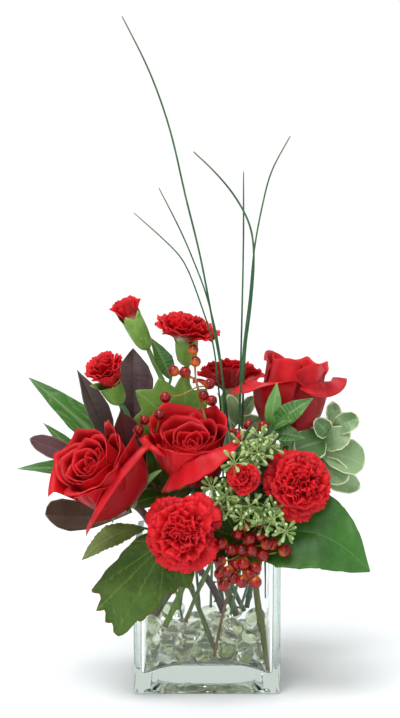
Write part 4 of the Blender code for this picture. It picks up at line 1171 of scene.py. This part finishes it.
for number, (name, (base, tip, width, face, bow, outline, cup)) in enumerate(LEUCADENDRON.items()):
    node = "leucadendron_leaf_" + name
    shape = Shape()
    leaf_sheet(
        shape, spot(node, base), spot(node, tip), width, face, outline, bow, cup, 36, 15, 0.8, wave=0.7,
        waves=1.1, veins=5, slope=2.2, seed=20 + number, midrib=1.3,
    )
    deep, bright, rim = dark_leaf[name]
    finish = leaf_finish(
        node + "_skin", deep, bright, rim, rim, edge_width=0.7, vein_width=0.35, roughness=0.46,
        vein_strength=0.35, blotch_scale=24.0, coat=0.05,
    )
    shape.build(node + "_blade", finish, "dark_leaf", node)

# Sprigs: stalk routes, then each leaf's base, tip and width, with the direction the leaves face.
SPRIGS = {
    "ruscus_sprig_left": (
        [[(0.991, 0.029, 0.002), (0.915, 0.424, 0.185), (0.839, 0.868, 0.388), (0.839, 0.917, 0.59),
          (0.874, 0.966, 0.753), (0.922, 0.966, 0.85)],
         [(0.839, 0.868, 0.388), (0.702, 0.794, 0.493), (0.551, 0.671, 0.599)],
         [(0.702, 0.794, 0.493), (0.565, 0.671, 0.513), (0.427, 0.572, 0.526)]],
        [((0.558, 0.671, 0.595), (0.063, 0.572, 0.862), 26),
         ((0.434, 0.572, 0.526), (-0.006, 0.227, 0.542), 15),
         ((0.922, 0.966, 0.846), (0.798, 0.966, 1.0), 17), ((0.43, 0.572, 0.53), (0.15, 0.45, 0.70), 13)],
        (0.2, -0.9, 0.45), "ruscus", "ruscus_leaf",
    ),
    "ruscus_sprig_right": (
        [[(0.026, 0.964, 0.002), (0.176, 0.846, 0.302), (0.288, 0.61, 0.57), (0.325, 0.492, 0.712)]],
        [((0.325, 0.492, 0.68), (0.438, 0.256, 1.003), 14), ((0.325, 0.492, 0.696), (1.0, 0.021, 0.909), 18),
         ((0.325, 0.492, 0.672), (0.812, 0.08, 0.806), 11),
         ((0.325, 0.522, 0.649), (0.887, 0.256, 0.633), 16)],
        (0.1, -0.9, 0.4), "lance", "ruscus_leaf",
    ),
    "pittosporum_sprig_right": (
        [[(0.014, 0.968, 0.006), (0.221, 0.817, 0.296), (0.497, 0.665, 0.55), (0.669, 0.615, 0.803)]],
        [((0.669, 0.615, 0.803), (0.669, 0.589, 1.003), 15),
         ((0.657, 0.615, 0.776), (0.93, 0.488, 0.885), 20), ((0.623, 0.615, 0.74), (0.485, 0.21, 0.876), 18),
         ((0.588, 0.615, 0.686), (0.28, 0.008, 0.66), 31), ((0.565, 0.615, 0.64), (0.84, 0.413, 0.76), 23),
         ((0.542, 0.64, 0.613), (1.002, 0.615, 0.50), 34), ((0.451, 0.69, 0.504), (0.82, 0.312, 0.40), 24),
         ((0.405, 0.716, 0.468), (0.96, 0.716, 0.30), 22)],
        (0.1, -0.95, 0.3), "round", "variegated_leaf",
    ),
    "pittosporum_sprig_centre": (
        [[(0.034, 0.921, 0.001), (0.122, 0.921, 0.401), (0.342, 0.803, 0.642), (0.561, 0.685, 0.782)]],
        [((0.561, 0.685, 0.772), (0.825, 0.331, 0.992), 13),
         ((0.474, 0.744, 0.722), (0.342, 0.331, 1.002), 14),
         ((0.342, 0.803, 0.642), (0.012, 0.331, 0.842), 16),
         ((0.517, 0.685, 0.742), (1.001, 0.095, 0.762), 15)],
        (0.0, -0.9, 0.4), "round", "variegated_leaf",
    ),
}
for node, (routes, leaves, face, outline, slot) in SPRIGS.items():
    finish = ruscus_green if slot == "ruscus_leaf" else pittosporum_green
    shape = Shape()
    rng = np.random.default_rng(len(node))
    for route in routes:
        shape.tube(smooth_curve(stalk_route(node, route), 8), 1.2 * MM, 10, tint=0.6)
    for base, tip, width in leaves:
        tilt = np.array(face) + rng.uniform(-0.22, 0.22, 3)
        leaf_sheet(
            shape, spot(node, base), spot(node, tip), width, tilt, outline, 3, 0.12, 30, 13, 0.5, wave=0.6,
            waves=1.5, veins=3.6, slope=2.4, midrib=1.2, seed=int(rng.integers(1000)),
            tint=rng.uniform(0.1, 0.9), curl=rng.uniform(0, 3),
        )
    shape.build(node + "_leaves", finish, slot, node)

# ---------------------------------------------------------------- berries

# Berry sprays: the route of the stalk from its cut end up, then the berries, as shares of the node's box.
SPRAYS = {
    "top": (
        [(0.909, 0.236, 0.001), (0.909, 0.425, 0.3), (0.745, 0.538, 0.575), (0.623, 0.538, 0.772)],
        [(0.582, 0.84, 0.961), (0.623, 0.764, 0.882), (0.234, 0.689, 0.819), (0.439, 0.613, 0.811),
         (0.868, 0.538, 0.733), (0.091, 0.16, 0.654), (0.766, 0.462, 0.654), (0.909, 0.387, 0.623)],
    ),
    "left": (
        [(0.96, 0.971, 0.003), (0.739, 0.819, 0.418), (0.613, 0.565, 0.771)],
        [(0.708, 0.311, 0.948), (0.298, 0.21, 0.907), (0.141, 0.108, 0.823)],
    ),
    "middle": (
        [(0.383, 0.97, 0.004), (0.517, 0.809, 0.459), (0.517, 0.649, 0.829)],
        [(0.149, 0.381, 0.829), (0.45, 0.462, 0.929), (0.851, 0.488, 0.915), (0.25, 0.114, 0.758)],
    ),
    "low": (
        [(0.019, 0.975, 0.002), (0.111, 0.953, 0.238), (0.232, 0.931, 0.513), (0.339, 0.909, 0.804),
         (0.4, 0.49, 0.866), (0.4, 0.314, 0.772)],
        [(0.111, 0.27, 0.843), (0.095, 0.226, 0.725), (0.095, 0.226, 0.639), (0.202, 0.138, 0.662),
         (0.141, 0.138, 0.568), (0.384, 0.27, 0.796), (0.4, 0.182, 0.709), (0.643, 0.27, 0.764),
         (0.552, 0.226, 0.678), (0.384, 0.094, 0.599), (0.552, 0.138, 0.591), (0.43, 0.314, 0.961),
         (0.613, 0.314, 0.89), (0.78, 0.314, 0.835), (0.932, 0.226, 0.796), (0.476, 0.226, 0.874),
         (0.27, 0.182, 0.615), (0.30, 0.25, 0.70), (0.50, 0.20, 0.80), (0.70, 0.25, 0.84), (0.24, 0.25, 0.80),
         (0.47, 0.16, 0.64), (0.62, 0.34, 0.98), (0.33, 0.34, 0.90)],
    ),
}
# How orange a berry is, and how often it is so.
RIPENESS = [0.0, 0.06, 0.16, 0.34]
RIPENESS_SHARES = [0.4, 0.3, 0.2, 0.1]
# Turned outline, from stalk to tip: radius and height in millimetres.
BERRY = [(0, -5.2), (1.4, -5.0), (2.9, -4.1), (4.2, -2.7), (4.9, -0.9), (5.0, 0.8), (4.5, 2.4), (3.5, 3.7),
         (2.2, 4.6), (1.2, 4.95), (0.8, 4.7), (0.7, 5.3), (0.3, 5.5), (0, 4.9)]


def nearest(line, point):
    """The point of a line that lies closest to this one."""
    return line[np.argmin(np.linalg.norm(line - point, axis=1))]


for number, (name, (route, berries)) in enumerate(SPRAYS.items()):
    node = "viburnum_berries_" + name
    fruit, stalks = Shape(), Shape()
    rng = np.random.default_rng(100 + number)
    line = smooth_curve([spot(node, p) for p in route], 10)
    stalks.tube(line, np.linspace(1.4, 1.0, len(line)) * MM, 10, tint=0.5)
    for share in berries:
        centre = spot(node, share)
        foot = nearest(line, centre)
        bend = (foot + centre) / 2 - Z * 0.08 * np.linalg.norm(centre - foot)
        twig = smooth_curve([foot, bend, centre], 5)
        away = unit(unit(centre - twig[-3]) + rng.uniform(-0.45, 0.45, 3))
        size = rng.uniform(0.93, 1.03) * (1.1 if name == "low" else 1.0)
        tint = rng.choice(RIPENESS, p=RIPENESS_SHARES)
        fruit.turned(np.array(BERRY) * MM * size, centre, away, 18, tint=tint)
        stalks.tube(twig[:-2], np.linspace(0.75, 0.6, len(twig) - 2) * MM, 8, tint=rng.uniform(0.2, 0.9))
    fruit.build(node + "_fruit", berry_red.material, "berry", node)
    stalks.build(node + "_stalks", stalk_brown, "berry", node)

# Leaves of the sprays: where they start, their tip, and their width. They start at the stalk's nearest point,
# but for the low spray's, which start together at the place itself.
BEHIND_LOW = (0.37, 0.80, 0.83)
SPRAY_FOLIAGE = {
    "low": [
        (BEHIND_LOW, (-0.10, 0.50, 0.93), 19), (BEHIND_LOW, (-0.06, 0.55, 0.72), 18),
        (BEHIND_LOW, (0.26, 0.52, 0.58), 17), (BEHIND_LOW, (0.62, 0.60, 0.60), 18),
        (BEHIND_LOW, (0.92, 0.50, 0.72), 17), (BEHIND_LOW, (0.10, 0.60, 1.06), 18),
        (BEHIND_LOW, (0.55, 0.62, 1.10), 18),
    ],
    "left": [
        ((0.90, 0.80, 0.30), (0.02, 0.24, 0.46), 17), ((0.90, 0.90, 0.12), (0.40, 0.84, 0.74), 21),
        ((0.90, 0.90, 0.10), (1.02, 0.80, 0.62), 20), ((0.90, 0.70, 0.18), (-0.36, 0.11, 0.12), 19),
    ],
}


def build_foliage(name, leaves, seed):
    """The toothed leaves that stand behind a spray's berries."""
    node = "viburnum_berries_" + name
    stalk = smooth_curve([spot(node, p) for p in SPRAYS[name][0]], 10)
    shape = Shape()
    rng = np.random.default_rng(seed)
    for start, tip, width in leaves:
        foot = spot(node, start) if name == "low" else nearest(stalk, spot(node, start))
        face = (rng.uniform(-0.3, 0.3), -0.9, 0.4)
        leaf_sheet(
            shape, foot, spot(node, tip), width, face, "lance", 4, 0.10, 30, 13, wave=1.2, waves=1.6,
            teeth=16, tooth=0.08, veins=5.0, slope=1.0, seed=int(rng.integers(1000)),
            tint=rng.uniform(0, 0.6),
        )
    shape.build(node + "_leaves", viburnum_green, "viburnum_leaf", node)


for number, (name, leaves) in enumerate(SPRAY_FOLIAGE.items()):
    build_foliage(name, leaves, 120 + number)

# ---------------------------------------------------------------- seeded eucalyptus

EUCALYPTUS = "seeded_eucalyptus"
# The stalk's route from its cut end up, and the clusters: middle as shares of the box, reach in millimetres.
STALK = [(0.209, 0.986, 0.01), (0.29, 0.72, 0.203), (0.317, 0.454, 0.396), (0.372, 0.395, 0.632),
         (0.48, 0.425, 0.824)]
UMBELS = [
    ((0.643, 0.454, 0.931), 9), ((0.508, 0.336, 0.803), 9), ((0.330, 0.090, 0.745), 8),
    ((0.603, 0.277, 0.814), 8), ((0.073, 0.218, 0.503), 8), ((0.236, 0.159, 0.439), 8),
    ((0.508, 0.1, 0.353), 8), ((0.752, 0.1, 0.225), 9), ((0.915, 0.1, 0.118), 8), ((0.426, 0.071, 0.246), 8),
    ((0.42, 0.42, 0.88), 8), ((0.74, 0.44, 0.86), 8), ((0.40, 0.36, 0.66), 9), ((0.56, 0.40, 0.70), 8),
    ((0.30, 0.34, 0.57), 9), ((0.62, 0.22, 0.30), 9), ((0.34, 0.24, 0.34), 9), ((0.20, 0.30, 0.30), 8),
    ((0.66, 0.26, 0.16), 8), ((0.80, 0.24, 0.30), 8),
]
# Its few leaves, behind the clusters: tip as shares of the box, width, and where along the stalk they start.
SPRAY_LEAVES = [
    ((0.02, 0.60, 0.62), 11, 0.42), ((0.80, 0.62, 0.55), 12, 0.48), ((0.16, 0.72, 0.16), 13, 0.18),
    ((0.86, 0.60, 0.10), 13, 0.22), ((0.10, 0.66, 0.36), 12, 0.30), ((0.70, 0.70, 0.34), 13, 0.34),
    ((0.55, 0.60, 0.04), 13, 0.20), ((0.34, 0.72, -0.02), 13, 0.12), ((0.74, 0.62, 0.76), 10, 0.62),
    ((0.16, 0.60, 0.84), 10, 0.66), ((0.30, 0.62, 0.44), 15, 0.14), ((0.52, 0.70, 0.48), 16, 0.20),
    ((0.94, 0.70, 0.34), 15, 0.24), ((0.04, 0.74, 0.02), 15, 0.10), ((0.76, 0.74, -0.02), 16, 0.14),
    ((0.44, 0.64, 0.22), 16, 0.10), ((0.40, 0.70, 0.72), 14, 0.40), ((0.62, 0.72, 0.62), 14, 0.36),
    ((0.26, 0.72, 0.98), 16, 0.60), ((0.56, 0.74, 1.04), 17, 0.66), ((0.84, 0.74, 0.96), 16, 0.62),
    ((0.98, 0.72, 0.76), 16, 0.50), ((0.94, 0.74, 0.56), 16, 0.40), ((0.70, 0.74, 0.86), 16, 0.50),
    ((0.90, 1.00, 1.06), 20, 0.55), ((0.62, 0.96, 1.00), 18, 0.60),
]
CLUSTER_SEEDS = 12
SEED = [(0, -3.0), (0.5, -2.8), (0.9, -1.8), (1.25, -0.4), (1.35, 0.8), (1.15, 1.7), (1.2, 2.2), (0.7, 2.4),
        (0, 3.0)]
shape = Shape()
rng = np.random.default_rng(200)
line = smooth_curve([spot(EUCALYPTUS, p) for p in STALK], 10)
shape.tube(line, np.linspace(1.4, 0.9, len(line)) * MM, 10, tint=0.4)
for share, reach in UMBELS:
    centre = spot(EUCALYPTUS, share)
    foot = nearest(line, centre)
    bend = (foot + centre) / 2 + rng.uniform(-2, 2, 3) * MM
    shape.tube(smooth_curve([foot, bend, centre], 6), 0.7 * MM, 8, tint=0.5)
    outward = unit(centre - foot + np.array([0, -12 * MM, 0]))
    side = unit(np.cross(outward, (0.2, 0.3, 0.9)))
    other = np.cross(outward, side)
    for k in range(CLUSTER_SEEDS):
        height = 1 - 1.75 * (k + 0.5) / CLUSTER_SEEDS
        angle = k * 2.399963 + rng.uniform(-0.2, 0.2)
        flat = math.sqrt(max(0.0, 1 - height * height))
        ahead = unit(height * outward + flat * (math.cos(angle) * side + math.sin(angle) * other))
        far = centre + ahead * reach * rng.uniform(0.65, 1.05) * MM
        shape.tube(np.linspace(centre, far, 4), 0.40 * MM, 6, tint=0.7)
        shape.turned(np.array(SEED) * MM * rng.uniform(1.0, 1.3), far + ahead * 2.4 * MM, ahead, 9,
                     tint=rng.uniform(0.1, 0.9))
shape.build(EUCALYPTUS + "_spray", eucalyptus_green, "eucalyptus", EUCALYPTUS)
shape = Shape()
for number, (share, width, start) in enumerate(SPRAY_LEAVES):
    foot = line[int(start * (len(line) - 1))]
    leaf_sheet(
        shape, foot, spot(EUCALYPTUS, share), width, (0.1, -0.9, 0.4), "lance", 3, 0.10, 26, 11, wave=0.8,
        waves=1.4, veins=4.0, slope=1.6, seed=300 + number, tint=rng.uniform(0, 1),
    )
shape.build(EUCALYPTUS + "_leaves", spray_leaf, "eucalyptus", EUCALYPTUS)

# ---------------------------------------------------------------- the glass vase

vase_low, vase_high = (np.array(c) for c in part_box("glass_vase"))
HALF = (vase_high[0] - vase_low[0]) / 2
TALL = vase_high[2]
WALL = 6 * MM
FLOOR = 13 * MM  # thickness of the floor in its corners
RISE = 12 * MM  # how much higher its middle stands
RECESS = 44 * MM  # half width of the hollow under the foot
RECESS_DEPTH = 5.5 * MM
RECESS_CORNER = 12 * MM
FOOT_CORNER = 2.4 * MM
OUTER_CORNER = 4 * MM
RIM_CORNER = 5.5 * MM
INNER_CORNER = 7 * MM
ROUND = 1.6 * MM  # radius of the edges of the foot and of the rim
FILLET = 3 * MM


def square_loop(half, corner, height):
    """A loop round a square with rounded corners, with points along its straight sides too."""
    quarter = np.linspace(0, math.pi / 2, 9)
    straight = np.linspace(0, 1, 12)[1:-1, None]
    corners = []
    for k, (sx, sy) in enumerate(((1, 1), (-1, 1), (-1, -1), (1, -1))):
        turn = quarter + k * math.pi / 2
        x = sx * (half - corner) + corner * np.cos(turn)
        y = sy * (half - corner) + corner * np.sin(turn)
        corners.append(np.stack([x, y], -1))
    loop = []
    for here, following in zip(corners, corners[1:] + corners[:1]):
        loop += [here, here[-1] + (following[0] - here[-1]) * straight]
    loop = np.vstack(loop)
    return np.column_stack([loop, np.full(len(loop), height)])


def floor_height(x, y, inner):
    """The thick floor stands up in the middle of each side and dips into the corners."""
    return FLOOR + RISE * (1 - np.abs(np.clip(x / inner, -1, 1) * np.clip(y / inner, -1, 1)) ** 3)


def floor_loop(half, corner, inner, above=0.0):
    """A loop that lies on the floor, or this far above it."""
    loop = square_loop(half, corner, 0.0)
    loop[:, 2] = floor_height(loop[:, 0], loop[:, 1], inner) + above
    return loop


def build_vase(finish):
    """Pressed glass: a foot with a shallow recess, upright sides, a polished rim and a thick domed floor."""
    inner = HALF - WALL
    loops = [square_loop(RECESS * s, RECESS_CORNER * s, RECESS_DEPTH) for s in (0.05, 0.35, 0.7, 0.97)]
    loops.append(square_loop(RECESS + 0.2 * MM, RECESS_CORNER, RECESS_DEPTH - 0.1 * MM))
    loops.append(square_loop(RECESS + 5.5 * MM, RECESS_CORNER, 0.2 * MM))
    loops.append(square_loop(RECESS + 5.8 * MM, RECESS_CORNER, 0.0))
    loops.append(square_loop(HALF - ROUND, FOOT_CORNER, 0.0))
    for turn in np.linspace(0.2, math.pi / 2, 5):
        half = HALF - ROUND * (1 - math.sin(turn))
        loops.append(square_loop(half, FOOT_CORNER + ROUND * math.sin(turn), ROUND * (1 - math.cos(turn))))
    loops.append(square_loop(HALF, OUTER_CORNER, 14 * MM))
    for turn in np.linspace(0, math.pi / 2, 6):
        half = HALF - ROUND * (1 - math.cos(turn))
        loops.append(square_loop(half, OUTER_CORNER, TALL - ROUND * (1 - math.sin(turn))))
    for turn in np.linspace(math.pi / 2, 0, 6):
        half = inner + ROUND * (1 - math.cos(turn))
        loops.append(square_loop(half, RIM_CORNER, TALL - ROUND * (1 - math.sin(turn))))
    loops.append(square_loop(inner, INNER_CORNER, TALL - 8 * MM))
    for turn in np.linspace(0, math.pi / 2, 6):
        half = inner - FILLET * (1 - math.cos(turn))
        loops.append(floor_loop(half, INNER_CORNER, inner, FILLET * (1 - math.sin(turn))))
    for share in (0.93, 0.90, 0.87, 0.84, 0.8, 0.75, 0.7, 0.6, 0.5, 0.4, 0.3, 0.2, 0.1, 0.04):
        loops.append(floor_loop(inner * share, INNER_CORNER * share, inner))
    shape = Shape()
    shape.rings(np.array(loops), np.array([0, 0, RECESS_DEPTH]), np.array([0, 0, FLOOR + RISE]))
    piece = shape.build("glass_vase_polished", finish, "clear_glass", "glass_vase")
    weighted = piece.modifiers.new("flat sides", "WEIGHTED_NORMAL")
    weighted.weight = 100
    weighted.keep_sharp = False


glass = Finish(
    "vase_glass", (0.985, 0.995, 0.99), 0.0, Transmission_Weight=1.0, IOR=1.5,
    Specular_Tint=(0.45, 0.45, 0.45, 1),
)
glass.bump(glass.noise(26.0, 2.0), 0.06, 0.0015)
absorb = glass.nodes.new("ShaderNodeVolumeAbsorption")
absorb.inputs["Color"].default_value = (0.20, 0.46, 0.30, 1)
absorb.inputs["Density"].default_value = 3.4
glass.links.new(absorb.outputs[0], glass.nodes["Material Output"].inputs["Volume"])
build_vase(glass.material)

# ---------------------------------------------------------------- the glass gems

gem_glass = Finish("gem_glass", (0.77, 0.81, 0.68), 0.02, Transmission_Weight=1.0, IOR=1.48)
gem_glass.bump(gem_glass.noise(140.0, 3.0), 0.15, 0.001)


GEM_COUNT = 62
GEM_RADIUS = 9.3 * MM
STEM_GAP = 1.6 * MM  # kept between a gem and the middle of a stem
SETTLE_STEPS = 260
SETTLE_DROP = 0.25 * MM


def buried_stems(top):
    """Points of the stems and the berry stalk that stand among the gems."""
    lines = [smooth_curve([spot(node, share) for share in route], 8) for node, (route, *_) in STEMS.items()]
    lines.append(smooth_curve([spot("viburnum_berries_low", share) for share in SPRAYS["low"][0]], 8))
    return np.vstack([line[line[:, 2] < top] for line in lines])


def push_apart(centres, others, gap, distance):
    """The sum of the pushes on each centre from the points nearer to it than this distance."""
    away = centres[:, None] - others[None]
    push = np.clip(distance - gap, 0, None)
    return (away / np.maximum(gap, 1e-6)[..., None] * push[..., None]).sum(1)


def settled_centres(rng, inner):
    """Middles of the gems, dropped at random places and pushed off each other, the stems, floor and walls."""
    bed_low, bed_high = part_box("glass_gem_bed")
    top = bed_high[2] + 2 * MM
    centres = np.column_stack([
        rng.uniform(-inner, inner, (GEM_COUNT, 2)), rng.uniform(bed_low[2] + GEM_RADIUS, top, GEM_COUNT),
    ])
    posts = buried_stems(top + GEM_RADIUS)
    wall = inner - GEM_RADIUS * 0.9
    for step in range(SETTLE_STEPS):
        gap = np.linalg.norm(centres[:, None] - centres[None], axis=2) + np.eye(GEM_COUNT)
        move = push_apart(centres, centres, gap, 2 * GEM_RADIUS * 0.97) * 0.28
        gap = np.linalg.norm(centres[:, None] - posts[None], axis=2)
        move += push_apart(centres, posts, gap, GEM_RADIUS + STEM_GAP) * 0.3
        move[:, 2] -= SETTLE_DROP * (1 - step / SETTLE_STEPS)
        centres += move
        centres[:, :2] = np.clip(centres[:, :2], -wall, wall)
        floor = floor_height(centres[:, 0], centres[:, 1], HALF - WALL) + GEM_RADIUS * 0.74
        centres[:, 2] = np.clip(centres[:, 2], floor, None)
    return centres


def build_gems(finish):
    """Loose flattened gems of clear glass, each with its own tilt, size and slightly lobed outline."""
    rng = np.random.default_rng(7)
    inner = HALF - WALL - 0.6 * MM
    polar = np.linspace(0, math.pi, 15)[1:-1, None]
    turn = np.linspace(0, 2 * math.pi, 24, endpoint=False)[None, :]
    section = np.sign(np.cos(polar)) * np.abs(np.cos(polar)) ** 1.1
    shape = Shape()
    for centre in settled_centres(rng, inner):
        axis = unit(rng.normal(0, 0.75, 3) + (0, 0, 0.9))
        side = unit(np.cross(axis, SKEW))
        other = np.cross(axis, side)
        wide = GEM_RADIUS * rng.uniform(0.98, 1.10)
        flat = GEM_RADIUS * rng.uniform(0.58, 0.74)
        room = inner - np.abs(centre[:2]).max()
        wide = min(wide, max(room, GEM_RADIUS * 0.86) * 1.04)
        lobes, phase = int(rng.integers(2, 4)), rng.uniform(0, 6)
        radius = wide * (1 + 0.05 * np.cos(lobes * turn + phase)) * np.sin(polar) ** 0.9
        rings = (
            centre + (radius * np.cos(turn))[..., None] * side + (radius * np.sin(turn))[..., None] * other
            - (flat * section + 0 * turn)[..., None] * axis
        )
        shape.rings(rings, centre - flat * axis, centre + flat * axis)
    shape.build("glass_gems", finish, "gem_glass", "glass_gem_bed")


build_gems(gem_glass.material)

# ---------------------------------------------------------------- stage, light and camera


FLOOR_CORNERS = ((-4, -4), (4, -4), (4, 6), (-4, 6))  # in metres
UNDER_THE_FOOT = -0.3 * MM
CAMERA_PLACE = (0, -1.78659, 0.50936)
CAMERA_TILT = 7  # degrees down from level
CAMERA_LENS = 102.65
CAMERA_SHIFT = (-0.00975, -0.00896)


def add_floor():
    """A plain pale sheet of paper, just under the vase's foot."""
    mesh = bpy.data.meshes.new("floor")
    mesh.from_pydata([(x, y, UNDER_THE_FOOT) for x, y in FLOOR_CORNERS], [], [(0, 1, 2, 3)])
    floor = bpy.data.objects.new("floor", mesh)
    bpy.context.scene.collection.objects.link(floor)
    f = Finish("floor_paper", (0.91, 0.94, 0.945), 0.6, Specular_IOR_Level=0.2)
    f.colour(f.mix(f.noise(3.0, 2.0), (0.900, 0.938, 0.945), (0.915, 0.945, 0.950)))
    mesh.materials.append(f.material)


def add_lamp(name, kind, power):
    """A lamp and the object that holds it."""
    lamp = bpy.data.lights.new(name, kind)
    lamp.energy = power
    holder = bpy.data.objects.new(name, lamp)
    bpy.context.scene.collection.objects.link(holder)
    return lamp, holder


def add_light(name, place, aim, size, power):
    """A round soft box at a place, aimed at a point."""
    lamp, holder = add_lamp(name, "AREA", power)
    lamp.shape = "DISK"
    lamp.size = size
    holder.location = place
    ahead = np.array(aim) - np.array(place)
    holder.rotation_euler = Vector(ahead).to_track_quat("-Z", "Y").to_euler()


def add_sun(name, towards, strength, angle):
    """Soft light from one direction: towards points to it, and angle is its width in degrees."""
    lamp, holder = add_lamp(name, "SUN", strength)
    lamp.angle = math.radians(angle)
    holder.rotation_euler = Vector(towards).to_track_quat("Z", "Y").to_euler()


def add_world():
    """White studio: pure white behind the object, a soft gradient for the light that falls on it."""
    world = bpy.data.worlds.new("studio")
    bpy.context.scene.world = world
    world.use_nodes = True
    nodes, links = world.node_tree.nodes, world.node_tree.links
    background = nodes["Background"]
    seen = nodes.new("ShaderNodeBackground")
    seen.inputs["Color"].default_value = (1, 1, 1, 1)
    seen.inputs["Strength"].default_value = 1.02
    place = nodes.new("ShaderNodeTexCoord")
    split = nodes.new("ShaderNodeSeparateXYZ")
    links.new(place.outputs["Generated"], split.inputs[0])
    ramp = nodes.new("ShaderNodeMapRange")
    ramp.interpolation_type = "SMOOTHSTEP"
    links.new(split.outputs[1], ramp.inputs["Value"])
    ramp.inputs["From Min"].default_value = -0.5
    ramp.inputs["From Max"].default_value = 0.7
    ramp.inputs["To Min"].default_value = 0.46
    ramp.inputs["To Max"].default_value = 0.82
    links.new(ramp.outputs[0], background.inputs["Strength"])
    background.inputs["Color"].default_value = (1.0, 1.0, 1.0, 1)
    path = nodes.new("ShaderNodeLightPath")
    mix = nodes.new("ShaderNodeMixShader")
    links.new(path.outputs["Is Camera Ray"], mix.inputs[0])
    links.new(background.outputs[0], mix.inputs[1])
    links.new(seen.outputs[0], mix.inputs[2])
    links.new(mix.outputs[0], nodes["World Output"].inputs["Surface"])


def add_camera():
    """A long lens in front of the vase, looking slightly down."""
    data = bpy.data.cameras.new("camera")
    camera = bpy.data.objects.new("camera", data)
    bpy.context.scene.collection.objects.link(camera)
    camera.location = CAMERA_PLACE
    camera.rotation_euler = (math.radians(90 - CAMERA_TILT), 0, 0)
    data.sensor_width = 36
    data.lens = CAMERA_LENS
    data.shift_x, data.shift_y = CAMERA_SHIFT
    data.clip_start = 0.05
    data.clip_end = 30
    bpy.context.scene.camera = camera


add_floor()
add_sun("key", (-0.34, -0.50, 1.5), 2.0, 34)
add_light("front", (-0.7, -2.1, 1.15), (0, 0, 0.3), 1.1, 10)
add_light("fill", (1.6, -1.2, 1.2), (0, 0, 0.25), 1.4, 3)
add_world()
add_camera()
scene = bpy.context.scene
scene.view_settings.view_transform = "Standard"
scene.cycles.max_bounces = 24
scene.cycles.transmission_bounces = 20
scene.cycles.glossy_bounces = 8
scene.cycles.transparent_max_bounces = 8
